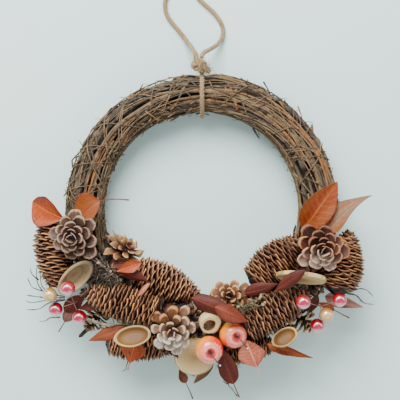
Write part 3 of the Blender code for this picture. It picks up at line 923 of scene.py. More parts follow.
def make_spruce_cone(node, axis, tone, fullness, rng, scale, finish):
    foot, length, half = lie_of(node, axis)
    half *= fullness
    tip = foot + axis * length
    first = axis.orthogonal().normalized()
    second = axis.cross(first)
    shape = heap()
    # The core takes the near-black root colour of the scales: painted shade deep inside the cone.
    core = [tip - axis * length * (0.05 + 0.86 * step / 9) for step in range(10)]
    radii = [0.46 * spruce_reach(0.05 + 0.86 * step / 9, half) for step in range(10)]
    pour(shape, sweep(core, radii, 12), tone=0.0)
    start = rng.uniform(0, 6.28)
    for number in range(SPRUCE_SCALE_COUNT):
        share = ((number + 0.5) / SPRUCE_SCALE_COUNT) ** 0.86
        turn = start + number * GOLDEN
        radial = first * math.cos(turn) + second * math.sin(turn)
        reach = spruce_reach(share, half) * rng.uniform(0.95, 1.04)
        opening = 16.0 + 54.0 * min(1.0, share / 0.3) + rng.uniform(-7, 7)
        size = half * (0.32 + 0.48 * min(1.0, share / 0.25)) * rng.uniform(0.94, 1.06)
        edge = tip - axis * (length * (0.01 + 0.97 * share)) + radial * reach
        width = half * (0.28 + 0.44 * min(1.0, share / 0.3)) * rng.uniform(0.9, 1.1)
        place = scale_place(edge, radial, axis, opening, rng.uniform(-9, 9), width, size)
        drop(shape, scale, place, random_tone(rng, tone, 0.2))
    for number in range(BASE_SCALES):
        turn = start + number * GOLDEN
        radial = first * math.cos(turn) + second * math.sin(turn)
        reach = half * (0.15 + 0.55 * number / BASE_SCALES)
        edge = foot + axis * length * rng.uniform(0.0, 0.03) + radial * reach
        place = scale_place(edge, radial, axis, 100.0 + rng.uniform(-20, 20), 0.0, half * 0.5, half * 0.5)
        drop(shape, scale, place, random_tone(rng, tone, 0.2))
    show(node + "_scales", shape, finish, stands_for=[node])


def make_scale_finish(name, stops, rim, tones, rim_width, frost=None):
    """A cone scale: coloured along its length, near black at its root and dark over its face as painted
    shade between the scales, paler at its edge, its brightness by its tone.
    """
    material, tree, shader, grain, tone = new_finish(name)
    parts = put(tree, "SeparateXYZ", {0: grain})
    along, across = parts.outputs["Z"], calc(tree, "ABSOLUTE", parts.outputs["X"])
    streak = streaks(tree, grain, 9.0, 0.25, calc(tree, "MULTIPLY", tone, 31.0))
    wavy = calc(tree, "ADD", along, spread_to(tree, streak, 0.3, 0.7, -0.06, 0.06))
    # The stops run from root to edge: the near-black root and dark face are painted shade between the
    # scales, over the scale's own brown.
    base = ramp(tree, wavy, *stops)
    rounded = calc(tree, "MULTIPLY", calc(tree, "POWER", across, 4.0), 0.12)
    edge = calc(tree, "ADD", wavy, rounded)
    edge = spread_to(tree, edge, 1.0 - rim_width, 1.0, 0.0, 1.0, "SMOOTHSTEP")
    colour = mixed(tree, edge, base, rim)
    light = spread_to(tree, streak, 0.3, 0.7, 0.72, 1.12)
    colour = shaded(tree, colour, light)
    colour = mixed(tree, 1.0, colour, ramp(tree, tone, *tones), "MULTIPLY")
    if frost is not None:
        outside = spread_to(tree, wavy, 0.35, 0.7)
        bloom = calc(tree, "MULTIPLY", spread_to(tree, tone, 0.6, 0.95, 0.0, 0.65), outside)
        bloom = calc(tree, "MULTIPLY", bloom, spread_to(tree, streak, 0.35, 0.6, 0.35, 1.0))
        colour = mixed(tree, bloom, colour, frost)
    wire_up(tree, shader, colour, streak, 0.6, 0.0005, 0.6)
    return material


def make_spruce_cones():
    rng = random.Random(23)
    scale = make_scale(3, 4, spruce_shape)
    # Near black at the root and dark brown over the face: painted shade between the scales, over the
    # cone's own brown.
    stops = [
        (0.25, (15, 9, 7)),
        (0.58, (56, 29, 17)),
        (0.88, (122, 70, 40)),
    ]
    tones = [(0.0, (112, 92, 88)), (0.5, (206, 196, 190)), (1.0, (255, 255, 250))]
    finish = make_scale_finish("spruce_scale", stops, tint(220, 164, 110), tones, 0.08)
    for node, heading, tilt, tone, fullness in SPRUCE_CONES:
        make_spruce_cone(node, direction(heading, tilt), tone, fullness, rng, scale, finish)


# node, heading and tilt of the front, finish, scale shape and count, opening at the base,
# width of a scale at the front and how much it grows, spread across and up
PINE_CONES = [
    ("pine_cone_left", -150, 80, "grey", "spoon", 27, 92, 0.27, 0.24, 1.12, 1.04),
    ("pine_cone_centre", -100, 82, "bleached", "blunt", 25, 96, 0.24, 0.20, 1.10, 1.20),
    ("pine_cone_right", -60, 82, "russet", "spoon", 27, 90, 0.28, 0.28, 1.18, 1.04),
    ("pine_cone_small_left", 50, 45, "straw", "splinter", 24, 84, 0.34, 0.22, 1.90, 1.90),
    ("pine_cone_small_centre", 100, 68, "tan", "blunt", 24, 92, 0.28, 0.26, 1.66, 1.44),
    ("pine_cone_under_left", -130, 20, "tan", "wedge", 30, 78, 0.34, 0.20, 1.15, 1.15),
    ("pine_cone_under_right", -40, 20, "tan", "wedge", 30, 78, 0.34, 0.20, 1.15, 1.15),
]

PINE_CONE_NUDGES = {"pine_cone_small_left": Vector((0.004, -0.005, 0.0))}


def make_pine_cone(node, axis, tone_of, rng, scale, finish, numbers):
    count, open_last, narrow, growth, across, up = numbers
    foot, height, half = lie_of(node, axis)
    foot += PINE_CONE_NUDGES.get(node, Vector())
    first = axis.orthogonal().normalized()
    second = axis.cross(first)
    shape = heap()
    # The core takes the dark root colour of the scales: painted shade deep inside the cone.
    core = [foot + axis * height * (0.02 + 0.62 * step / 6) for step in range(7)]
    radii = [half * (0.10 + 0.10 * math.sin(math.pi * step / 6)) for step in range(7)]
    pour(shape, sweep(core, radii, 10), tone=0.3)
    start = rng.uniform(0, 6.28)
    for number in range(count):
        share = (number + 0.5) / count
        turn = start + number * GOLDEN
        radial = first * math.cos(turn) + second * math.sin(turn)
        reach = half * (0.05 + 0.95 * share**0.85) * rng.uniform(0.92, 1.03)
        reach *= Vector((radial.x * across, radial.y * up, radial.z)).length
        opening = 20.0 + (open_last - 20.0) * share**0.75 + rng.uniform(-8, 8)
        size = max(half * 0.18, (reach - half * 0.08) / math.sin(math.radians(max(opening, 30.0))))
        edge = foot + axis * height * (1.0 - 0.66 * share**1.25) + radial * reach
        width = half * (narrow + growth * share**0.8) * rng.uniform(0.9, 1.1)
        place = scale_place(edge, radial, axis, opening, rng.uniform(-16, 16), width, size)
        drop(shape, scale, place, tone_of(radial, share, rng))
    show(node + "_scales", shape, finish, stands_for=[node])


# The loose scales are dark as painted shade in the gaps under the cones, over their own dark brown.
BED_SCALES = 330  # loose dark scales that fill the gaps under the cones


def plain_tone(radial, share, rng):
    return random_tone(rng, 0.45, 0.16)


def bleached_tone(radial, share, rng):
    """Whiter on the lower side, browner on the upper side."""
    return min(1.0, max(0.0, 0.5 - 0.45 * radial.y + rng.gauss(0.0, 0.1)))


def make_pine_cones():
    rng = random.Random(31)
    shapes = {
        "spoon": make_scale(6, 7, spoon_shape),
        "blunt": make_scale(5, 7, blunt_shape),
        "wedge": make_scale(2, 6, wedge_shape),
        "splinter": make_scale(3, 6, splinter_shape),
    }
    plain = [(0.0, (150, 128, 118)), (0.5, (222, 214, 208)), (1.0, (255, 255, 255))]
    white = [(0.0, (206, 150, 92)), (0.45, (226, 208, 190)), (1.0, (255, 255, 255))]
    # Near black at the root of each scale: painted shade between the scales, over the cone's own colour.
    grey = [(0.25, (24, 15, 12)), (0.55, (66, 44, 32)), (0.85, (112, 84, 66))]
    russet = [(0.25, (26, 12, 8)), (0.55, (72, 34, 21)), (0.86, (110, 60, 38))]
    bleached = [(0.15, (74, 30, 16)), (0.4, (78, 54, 38)), (0.75, (148, 128, 110))]
    tan = [(0.2, (30, 13, 9)), (0.55, (86, 44, 26)), (0.85, (158, 106, 60))]
    straw = [(0.15, (52, 16, 12)), (0.5, (112, 66, 38)), (0.8, (168, 124, 78))]
    dark = [(0.2, (18, 11, 9)), (0.55, (48, 30, 22)), (0.85, (84, 58, 42))]
    frost = tint(220, 204, 188)
    rows = [
        ("grey", grey, (190, 158, 134), plain, 0.13, None),
        ("russet", russet, (206, 142, 98), plain, 0.11, frost),
        ("bleached", bleached, (222, 208, 196), white, 0.14, frost),
        ("tan", tan, (224, 178, 120), plain, 0.12, None),
        ("straw", straw, (214, 176, 126), plain, 0.12, None),
        ("dark", dark, (134, 100, 76), plain, 0.12, None),
    ]
    finishes = {}
    for name, stops, rim, tones, rim_width, bloom in rows:
        label = "pine_scale_" + name
        finishes[name] = make_scale_finish(label, stops, tint(*rim), tones, rim_width, bloom)
    # A bed of dark loose scales: real scales in the gaps, darkened as painted shade.
    bed = heap()
    for _ in range(BED_SCALES):
        bearing = rng.uniform(198, 341)
        lean = rng.uniform(5, 158)
        place = seat(bearing, lean, rng.uniform(-0.002, 0.009))
        out = random_way(rng, -0.1, 0.5).normalized()
        size = rng.uniform(0.009, 0.017)
        tip, roll = place + out * size * 0.5, rng.uniform(0, 360)
        lie = scale_place(tip, out.orthogonal(), out, 0.0, roll, size * 0.6, size)
        drop(bed, shapes["blunt" if rng.random() < 0.5 else "spoon"], lie, rng.uniform(0.0, 0.8))
    show("bed_of_scales", bed, finishes["dark"])
    for node, heading, tilt, finish, shape, *numbers in PINE_CONES:
        tone_of = bleached_tone if finish in ("bleached", "russet") else plain_tone
        make_pine_cone(
            node, direction(heading, tilt), tone_of, rng, shapes[shape], finishes[finish], numbers
        )


make_spruce_cones()
make_pine_cones()

# ---------------------------------------------------------------- pale wood


def make_wood_finish(name, stops, ring_count, ring_tone, painted_shade_depth=0.0):
    """Cut wood: growth rings across its grain, coloured along its section, and darkened by its tone
    towards one side as painted shade.
    """
    material, tree, shader, grain, tone = new_finish(name)
    parts = put(tree, "SeparateXYZ", {0: grain})
    level = put(tree, "CombineXYZ", {0: parts.outputs["X"], 1: parts.outputs["Y"]}).outputs[0]
    wobble = noise_at(tree, level, 1.6, 2.0)
    far = put(tree, "VectorMath", {0: level}, operation="LENGTH").outputs["Value"]
    far = calc(tree, "ADD", far, calc(tree, "MULTIPLY", wobble, 0.22))
    wave = calc(tree, "SINE", calc(tree, "MULTIPLY", far, 6.283 * ring_count))
    ring = spread_to(tree, wave, 0.0, 1.0, 0.0, 0.7, "SMOOTHSTEP")
    fibre = noise_at(tree, grain, 26.0, 5.0)
    base = ramp(tree, parts.outputs["Z"], *stops)
    colour = mixed(tree, ring, base, ring_tone)
    light = spread_to(tree, fibre, 0.3, 0.7, 0.82, 1.06)
    # Painted shade: the finish darkens the wood where the tone is high, on the side in shade.
    shadow = spread_to(tree, tone, 0.25, 0.85, 1.0, 1.0 - painted_shade_depth)
    light = calc(tree, "MULTIPLY", light, shadow)
    colour = shaded(tree, colour, light)
    height = calc(tree, "ADD", fibre, calc(tree, "MULTIPLY", ring, -0.6))
    wire_up(tree, shader, colour, height, 0.45, 0.0003, 0.58)
    return material


def turned_shape(outline, steps, uneven, rng):
    """Spins an outline of (radius, height, share) round Z. Grain: place across, then share."""
    shape = heap()
    grain = shape.verts.layers.float_vector["grain"]
    corners = []
    for radius, height, share in outline:
        corner = shape.verts.new((radius, 0.0, height))
        corner[grain] = (0.0, 0.0, share)
        corners.append(corner)
    for first, second in zip(corners, corners[1:]):
        shape.edges.new((first, second))
    shape.verts.ensure_lookup_table()
    bmesh.ops.spin(
        shape,
        geom=shape.verts[:] + shape.edges[:],
        cent=(0.0, 0.0, 0.0),
        axis=(0.0, 0.0, 1.0),
        angle=2 * math.pi,
        steps=steps,
        use_merge=True,
    )
    bmesh.ops.remove_doubles(shape, verts=shape.verts[:], dist=0.00002)
    widest = max(radius for radius, height, share in outline)
    phase = rng.uniform(0, 40)
    for corner in shape.verts:
        across = Vector((corner.co.x, corner.co.y, 0.0)) / widest
        corner[grain] = (across.x, across.y, corner[grain][2])
        wave = noise.noise(Vector((across.x * 1.3 + phase, across.y * 1.3, corner.co.z * 40.0)))
        corner.co.x *= 1.0 + uneven * wave
        corner.co.y *= 1.0 + uneven * wave
    bmesh.ops.recalc_face_normals(shape, faces=shape.faces[:])
    return shape


def middle_of(node):
    low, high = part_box(node)
    return (low + high) / 2


def make_wood():
    rng = random.Random(41)
    cream, pale, brown = (206, 172, 118), (224, 198, 152), (96, 68, 38)
    slice_stops = [
        (0.0, brown), (0.5, (140, 106, 66)), (0.72, cream), (0.88, pale), (0.92, (178, 142, 92)),
        (1.0, cream)
    ]
    slice_wood = make_wood_finish("wood_slice", slice_stops, 11.0, tint(124, 90, 50))
    dish_stops = [
        (0.3, (166, 128, 80)), (0.42, pale), (0.58, cream), (0.66, (144, 98, 42)),
        (1.0, (118, 78, 32))
    ]
    dish_wood = make_wood_finish("wood_dish", dish_stops, 4.0, tint(118, 84, 42), 0.35)
    left_stops = [
        (0.3, (166, 128, 80)), (0.42, pale), (0.66, pale), (0.80, (192, 158, 108)),
        (1.0, (150, 118, 76))
    ]
    left_wood = make_wood_finish("wood_dish_shaded", left_stops, 2.0, tint(132, 102, 66), 0.70)
    # The curl is pale outside and brown on the inner wall of its hole: painted shade in the hole, over
    # pale wood.
    curl_wood = make_wood_finish(
        "wood_curl", [(0.0, pale), (0.6, cream), (1.0, brown)], 9.0, tint(170, 134, 84)
    )

    for node, heading, tilt, narrow in [
        ("wood_slice_bottom", -90, 68, 1.0),
        ("wood_slice_right", -97, 20, 0.62),
    ]:
        axis = direction(heading, tilt)
        foot, thickness, radius = lie_of(node, axis)
        centre = middle_of(node)
        half, edge = thickness / 2, 0.0009
        outline = []
        for share in (0.0, 0.25, 0.5, 0.75, 0.9):
            outline.append((radius * share, half + 0.0004 * share, 0.5 + 0.4 * share))
        outline += [(radius - edge, half, 0.92), (radius - edge * 0.3, half - edge * 0.3, 0.95)]
        outline += [(radius, half - edge, 1.0), (radius * 1.01, 0.0, 1.0), (radius, edge - half, 1.0)]
        outline += [(radius - edge, -half, 0.9), (radius * 0.5, -half, 0.7), (0.0, -half, 0.5)]
        shape = turned_shape(outline, 56, 0.035, rng)
        squash(shape, (1.0, narrow, 1.0))
        move(shape, pose_of(centre, axis))
        show(node + "_sawn", shape, slice_wood, stands_for=[node], rounds=1)

    section = [(0.0, 0.0), (0.45, 0.03), (0.70, 0.14), (0.88, 0.45), (0.98, 0.86), (1.0, 0.96)]
    section += [(0.985, 1.0), (0.92, 1.0), (0.85, 0.97), (0.80, 0.86), (0.72, 0.60)]
    section += [(0.58, 0.42), (0.32, 0.34), (0.0, 0.32)]
    shares = [0.0, 0.1, 0.2, 0.3, 0.4, 0.45, 0.5, 0.56, 0.62, 0.72, 0.8, 0.88, 0.95, 1.0]
    # node, heading and tilt, width as a share of length, size, side in shade, finish
    for node, heading, tilt, narrow, wide, shaded_side, finish in [
        ("wood_dish_left", -45, 48, 0.62, 1.12, -10, left_wood),
        ("wood_dish_centre", 100, 60, 0.60, 1.04, 60, dish_wood),
        ("wood_dish_right", 120, 55, 0.70, 1.0, 200, dish_wood),
    ]:
        axis = direction(heading, tilt)
        foot, depth, radius = lie_of(node, axis)
        radius *= wide
        outline = [(radius * out, depth * up, share) for (out, up), share in zip(section, shares)]
        shape = turned_shape(outline, 48, 0.05, rng)
        squash(shape, (1.0, narrow, 1.0))
        move(shape, pose_of(foot, axis))
        # Painted shade: the tone rises across the dish towards its side in shade, which the finish
        # darkens.
        layer = shape.verts.layers.float["tone"]
        for corner in shape.verts:
            corner[layer] = 0.5 + (corner.co - foot).dot(direction(shaded_side, 0.0)) / (2 * radius)
        show(node + "_carved", shape, finish, stands_for=[node], rounds=1)

    axis = direction(-60, 60)
    foot, depth, radius = lie_of("wood_curl", axis)
    half, inner = depth / 2, radius * 0.55
    outline = [(radius * 0.97, half * 0.93, 0.2), (radius, 0.0, 0.4), (radius * 0.97, -half * 0.93, 0.6)]
    outline += [(radius * 0.9, -half, 0.7), (inner * 1.1, -half * 0.98, 0.8), (inner, -half * 0.8, 0.9)]
    outline += [(inner * 0.98, 0.0, 1.0), (inner, half * 0.85, 1.0), (inner * 1.12, half, 0.1)]
    outline += [(radius * 0.9, half, 0.1)]
    shape = turned_shape(outline + outline[:1], 48, 0.10, rng)
    for corner in shape.verts:
        inward = 1.0 - Vector((corner.co.x, corner.co.y)).length / radius
        corner.co.x -= inward * radius * 0.4
    move(shape, pose_of(foot + axis * half, axis))
    show("wood_curl_rolled", shape, curl_wood, stands_for=["wood_curl"], rounds=1)


make_wood()

# ---------------------------------------------------------------- apples and pearls


def make_apple_finish():
    """Lacquered apple: yellow to orange to red round its side, yellowest towards the light as painted
    light over its own yellow and red, pink and white at its front.
    """
    material, tree, shader, grain, tone = new_finish("apple_lacquer")
    parts = put(tree, "SeparateXYZ", {0: grain})
    patches = noise_at(tree, grain, 2.2, 3.0)
    # Painted light over the apple's own colours: yellow on the side towards the light, red on the side
    # away from it.
    side = calc(tree, "ADD", parts.outputs["X"], spread_to(tree, patches, 0.3, 0.7, -0.2, 0.2))
    skin = ramp(
        tree,
        spread_to(tree, side, -1.0, 1.0),
        (0.06, (246, 150, 10)),
        (0.30, (234, 92, 6)),
        (0.60, (206, 20, 6)),
    )
    around = noise_at(tree, grain, 7.0, 4.0)
    front = calc(tree, "ADD", parts.outputs["Z"], spread_to(tree, around, 0.3, 0.7, -0.09, 0.09))
    front = calc(tree, "ADD", front, calc(tree, "MULTIPLY", parts.outputs["Y"], 0.10))
    blush = ramp(
        tree,
        front,
        (0.18, (228, 72, 30)),
        (0.28, (238, 142, 116)),
        (0.40, (230, 102, 82)),
        (0.52, (240, 158, 138)),
        (0.62, (224, 90, 80)),
        (0.76, (180, 32, 34)),
        (0.90, (84, 12, 14)),
    )
    fade = spread_to(tree, front, 0.14, 0.24, 0.0, 1.0, "SMOOTHSTEP")
    colour = mixed(tree, fade, skin, blush)
    specks = noise_at(tree, grain, 30.0, 2.0)
    wire_up(tree, shader, colour, specks, 0.08, 0.0003, 0.32)
    preset(shader, {"Coat Weight": 0.8, "Coat Roughness": 0.12})
    return material


def make_pearl_finish(name, stops, core, painted_highlight):
    """Pearl lacquer with a painted highlight bowed across it, a painted sheen where it faces the front,
    and a lower side paler as a painted reflection of the floor.
    """
    material, tree, shader, grain, tone = new_finish(name)
    parts = put(tree, "SeparateXYZ", {0: grain})
    cloud = noise_at(tree, grain, 1.5, 1.0)
    place = calc(tree, "ADD", parts.outputs["Y"], spread_to(tree, cloud, 0.3, 0.7, -0.08, 0.08))
    # Up the pearl: its own colour, paler low down as a painted reflection of the pale floor.
    skin = ramp(tree, spread_to(tree, place, -1.0, 1.0), *stops)
    low = calc(tree, "ADD", place, 0.10)
    wide = calc(tree, "MULTIPLY", parts.outputs["X"], 0.78)
    flat = put(tree, "CombineXYZ", {0: wide, 1: low}).outputs[0]
    away = put(tree, "VectorMath", {0: flat}, operation="LENGTH").outputs["Value"]
    # Painted sheen: the core colour where the pearl faces the front.
    painted_front_sheen = spread_to(tree, away, 0.34, 0.46, 1.0, 0.0, "SMOOTHSTEP")
    colour = mixed(tree, painted_front_sheen, skin, core)
    # Painted highlight: a pale bow round the front, on the pearl's upper side.
    highlight_arc = calc(tree, "ABSOLUTE", calc(tree, "SUBTRACT", away, 0.44))
    highlight_arc = spread_to(tree, highlight_arc, 0.03, 0.11, 1.0, 0.0, "SMOOTHSTEP")
    highlight_arc = calc(tree, "MULTIPLY", highlight_arc, spread_to(tree, place, -0.1, 0.2, 0.0, 0.8))
    colour = mixed(tree, highlight_arc, colour, painted_highlight)
    tree.links.new(colour, shader.inputs["Base Color"])
    preset(shader, {"Roughness": 0.28, "Metallic": 0.15})
    preset(shader, {"Coat Weight": 1.0, "Coat Roughness": 0.06})
    return material


def make_metal(name, dark, light, roughness):
    material, tree, shader, grain, tone = new_finish(name)
    spots = noise_at(tree, grain, 900.0, 3.0)
    colour = ramp(tree, spots, (0.35, dark), (0.65, light))
    wire_up(tree, shader, colour, spots, 0.2, 0.0001, roughness)
    preset(shader, {"Metallic": 0.6})
    return material


WIRE = make_metal("florist_wire", (44, 22, 22), (104, 66, 62), 0.45)
PICK_WIRE = make_metal("pick_wire", (128, 84, 84), (196, 160, 156), 0.5)
BEAD = make_metal("wire_tip", (214, 206, 200), (240, 236, 232), 0.5)


PIN_RISE = 0.0065  # straight out of the dimple, before the wire leans over
PIN_LENGTH = 0.0145  # of the part that leans over
PIN_LEAN = (-50, 15)  # its heading and tilt


def make_apples():
    rng = random.Random(47)
    skin = make_apple_finish()
    for node, heading, tilt in (("apple_front", -53, 80), ("apple_back", -12, 72)):
        axis = direction(heading, tilt)
        centre = middle_of(node)
        outline = []
        for step in range(25):
            turn = math.pi * step / 24
            out = APPLE_RADIUS * math.sin(turn) ** 0.86
            up = APPLE_RADIUS * APPLE_SQUAT * math.cos(turn)
            dent = math.exp(-((out / (APPLE_RADIUS * 0.30)) ** 2))
            up -= math.copysign(0.0036 if up > 0 else 0.0014, up) * dent
            outline.append((out, up, up / APPLE_RADIUS))
        shape = turned_shape(outline, 40, 0.012, rng)
        grain = shape.verts.layers.float_vector["grain"]
        pose = pose_of(centre, axis)
        for corner in shape.verts:
            away = (pose.to_3x3() @ corner.co) / APPLE_RADIUS
            front = 1.0 - Vector((corner.co.x, corner.co.y)).length / APPLE_RADIUS
            # lit grows towards the lower right, away from the light; the finish paints the apple yellow
            # where it is low, as painted light on the side towards the light.
            lit = away.dot(direction(-30.0, 0.0))
            corner[grain] = (lit, away.dot(direction(-60.0, 0.0)), front if corner.co.z > 0.0 else 0.0)
        move(shape, pose)
        show(node + "_lacquered", shape, skin, stands_for=[node], rounds=1)

        foot = centre + axis * (APPLE_RADIUS * APPLE_SQUAT - 0.0042)
        bend = centre + axis * (APPLE_RADIUS * 0.86 - 0.003 + WIRE_RADIUS + CLEARANCE + PIN_RISE)
        end = bend + direction(*PIN_LEAN) * PIN_LENGTH
        shape = heap()
        path = smooth_route([foot, foot.lerp(bend, 0.7), bend.lerp(end, 0.12), end], 18)
        pour(shape, sweep(path, WIRE_RADIUS, 8), tone=0.5)
        show(node + "_pin", shape, WIRE, stands_for=[node + "_wire"])
        shape = heap()
        bmesh.ops.create_icosphere(shape, subdivisions=3, radius=0.0009)
        shift(shape, end)
        show(node + "_pin_head", shape, BEAD)


BERRIES = {
    "left": ["red_left_upper", "red_left_outer", "red_left_lower", "gold_left"],
    "right": ["red_right_inner", "red_right_outer", "red_right_lower", "gold_right"],
}
# foot and hub of each pick: bearing, lean and lift
PICKS = {
    "left": ((217, 15, 0.002), (216, 40, 0.031)),
    "right": ((320, 15, 0.002), (321, 47, 0.029)),
}


def make_picks():
    # Up the red pearl: pale pink low down as a painted reflection of the floor, then its own crimson,
    # darkest at the top.
    crimson_and_floor_reflection_stops = [
        (0.10, (226, 176, 182)),
        (0.24, (222, 140, 158)),
        (0.38, (194, 26, 70)),
        (0.58, (172, 2, 24)),
        (0.90, (124, 0, 14)),
    ]
    gold_stops = [
        (0.10, (196, 160, 108)),
        (0.45, (214, 174, 112)),
        (0.85, (168, 118, 56)),
    ]
    red = make_pearl_finish("pearl_crimson", crimson_and_floor_reflection_stops, tint(174, 14, 66), tint(244, 214, 222))
    gold = make_pearl_finish("pearl_gold", gold_stops, tint(206, 166, 106), tint(248, 232, 196))
    for side, (foot, hub) in PICKS.items():
        body = f"berry_pick_{side}"
        base, top = seat(*foot), seat(*hub)
        wires = heap()
        for index, name in enumerate(BERRIES[side]):
            centre = middle_of("berry_" + name)
            shape = heap()
            bmesh.ops.create_icosphere(shape, subdivisions=4, radius=BERRY_RADIUS)
            grain = shape.verts.layers.float_vector["grain"]
            for corner in shape.verts:
                corner[grain] = corner.co / BERRY_RADIUS
            shift(shape, centre)
            finish, slot = (gold, "gold_pearl") if "gold" in name else (red, "red_pearl")
            show("pearl_" + name, shape, finish, body, ["berry_" + name])
            line = []
            for step in range(12):
                turn = 2 * math.pi * (step / 5.5 + index / 4)
                offset = Vector((math.cos(turn), math.sin(turn), 0.0)) * WIRE_RADIUS * 0.9
                line.append(base.lerp(top, step / 11) + offset)
            way = (centre - top).normalized()
            sag = Vector((0.0, 0.0, 0.0012 * (index - 1.5)))
            line += [
                top + way * 0.004 + sag * 0.5, top.lerp(centre, 0.5) + sag,
                centre - way * BERRY_RADIUS * 0.95
            ]
            pour(wires, sweep(smooth_route(line, 44), WIRE_RADIUS * 0.6, 6), tone=0.5)
        show(f"pick_wires_{side}", wires, PICK_WIRE, body, [f"berry_wires_{side}"])


make_apples()
make_picks()

# ---------------------------------------------------------------- dry leaves

VEIN_COUNT = 9.0


def make_leaf_finish(name, base, patch, vein, roughness, coat):
    """A dry leaf: blotched, with side veins that run forward from its midrib."""
    material, tree, shader, grain, tone = new_finish(name)
    parts = put(tree, "SeparateXYZ", {0: grain})
    across = calc(tree, "ABSOLUTE", parts.outputs["X"])
    bent = calc(tree, "SUBTRACT", parts.outputs["Z"], calc(tree, "MULTIPLY", across, 0.16))
    wobble = noise_at(tree, grain, 5.0, 2.0)
    bent = calc(tree, "ADD", bent, spread_to(tree, wobble, 0.3, 0.7, -0.02, 0.02))
    saw = calc(tree, "FRACT", calc(tree, "MULTIPLY", bent, VEIN_COUNT))
    off = calc(tree, "ABSOLUTE", calc(tree, "SUBTRACT", saw, 0.5))
    line = spread_to(tree, off, 0.0, 0.10, 1.0, 0.0, "SMOOTHSTEP")
    mid = spread_to(tree, across, 0.0, 0.07, 1.0, 0.0, "SMOOTHSTEP")
    vein_mask = calc(tree, "MAXIMUM", calc(tree, "MULTIPLY", line, 0.55), mid)
    mottled = mottle(tree, grain, 2.2, base, patch, 1.0, 0.3)
    edge = spread_to(tree, across, 0.8, 1.0, 0.0, 0.45)
    colour = mixed(tree, edge, mottled.outputs[0], tint(84, 44, 28))
    colour = mixed(tree, vein_mask, colour, vein)
    height = calc(tree, "SUBTRACT", mottled.outputs[1], calc(tree, "MULTIPLY", vein_mask, 0.8))
    wire_up(tree, shader, colour, height, 0.5, 0.0004, roughness)
    preset(shader, {"Specular IOR Level": 0.3, "Coat Weight": coat, "Coat Roughness": 0.25})
    return material


# name, its colour, its patches, its veins, roughness, coat
LEAF_COLOURS = [
    ("rust", (154, 56, 12), (176, 76, 24), (190, 98, 44), 0.55, 0.08),
    ("ochre", (138, 70, 12), (150, 62, 12), (104, 42, 14), 0.5, 0.12),
    ("orange", (138, 66, 14), (132, 44, 6), (164, 92, 40), 0.58, 0.05),
    ("maroon", (70, 18, 8), (92, 30, 14), (106, 42, 22), 0.62, 0.02),
    ("brick", (104, 36, 18), (122, 52, 30), (136, 62, 38), 0.58, 0.05),
    ("tan", (138, 66, 28), (112, 48, 20), (98, 44, 22), 0.6, 0.05),
    ("grey", (140, 110, 88), (156, 86, 34), (102, 70, 50), 0.6, 0.05),
    ("pink", (176, 82, 52), (192, 116, 88), (214, 156, 130), 0.42, 0.3),
    ("mauve", (136, 78, 66), (176, 126, 112), (110, 56, 48), 0.5, 0.2),
    ("brown", (86, 38, 22), (112, 62, 42), (62, 28, 18), 0.6, 0.05),
]
LEAF_FINISHES = {
    name: make_leaf_finish(f"leaf_{name}", tint(*base), tint(*patch), tint(*vein), roughness, coat)
    for name, base, patch, vein, roughness, coat in LEAF_COLOURS
}
LEAF_THICKNESS = 0.0005
BLADE_STEPS = 18
BLADE_ACROSS = 8


def lay_leaf(into, root, tip, width, stalk, bow, roll, rng, curl, twist, fold=0.1, peak=0.85, arch=0.0):
    """A bowed, curled blade with its midrib and stalk.

    curl bends it across, up at its edges when it is positive. twist turns its tip, fold makes
    a valley of its midrib, and a lower peak puts its widest place nearer to the stalk. arch
    curves the whole leaf sideways.
    """
    along = (tip - root).normalized()
    length = (tip - root).length
    level_side = Vector((0.0, 0.0, 1.0)).cross(along).normalized()
    side = Matrix.Rotation(math.radians(roll), 3, along) @ level_side
    phase = rng.uniform(0, 30)

    def spine(share):
        lift = along.cross(side) * bow * math.sin(math.pi * share)
        wag = side * 0.03 * length * math.sin(math.pi * share + phase) * stalk * 2.0
        wag += level_side * arch * math.sin(math.pi * share)
        return root + along * length * share + lift + wag

    shape = heap()
    grain = shape.verts.layers.float_vector["grain"]
    bmesh.ops.create_grid(shape, x_segments=BLADE_STEPS, y_segments=BLADE_ACROSS, size=0.5)
    bmesh.ops.solidify(shape, geom=shape.faces[:], thickness=0.1)
    for corner in shape.verts:
        run, across = corner.co.x + 0.5, corner.co.y * 2.0
        outer = 1.0 if abs(corner.co.z) > 0.05 else 0.0
        share = stalk + (1.0 - stalk) * run
        half = width / 2 * math.sin(math.pi * min(1.0, run**peak)) ** 0.85 * (1.0 - 0.22 * run)
        uneven = noise.noise(Vector((run * 5.0, math.copysign(1, across), phase)))
        half = max(0.0004, half * (1.0 + 0.10 * uneven))
        turned = Matrix.Rotation(math.radians(twist) * run, 3, along)
        level, front = turned @ side, turned @ along.cross(side)
        bend = across * curl
        place = level * half * math.sin(bend) / curl + front * half * (1.0 - math.cos(bend)) / curl
        ripple = 0.10 * noise.noise(Vector((run * 4.0 + phase, across * 0.8, 3.0)))
        place += front * half * (fold * abs(across) + ripple * abs(across))
        corner.co = spine(share) + place + front * outer * LEAF_THICKNESS
        corner[grain] = (across, phase * 0.3, run)
    bmesh.ops.recalc_face_normals(shape, faces=shape.faces[:])
    pour(into, shape, tone=rng.random())
    rib = [spine(step / 16) + along.cross(side) * 0.0002 for step in range(17)]
    radii = [0.00085 - 0.0007 * step / 16 for step in range(17)]
    radii[0] = 0.0013
    pour(into, sweep(rib, radii, 6), tone=0.2)


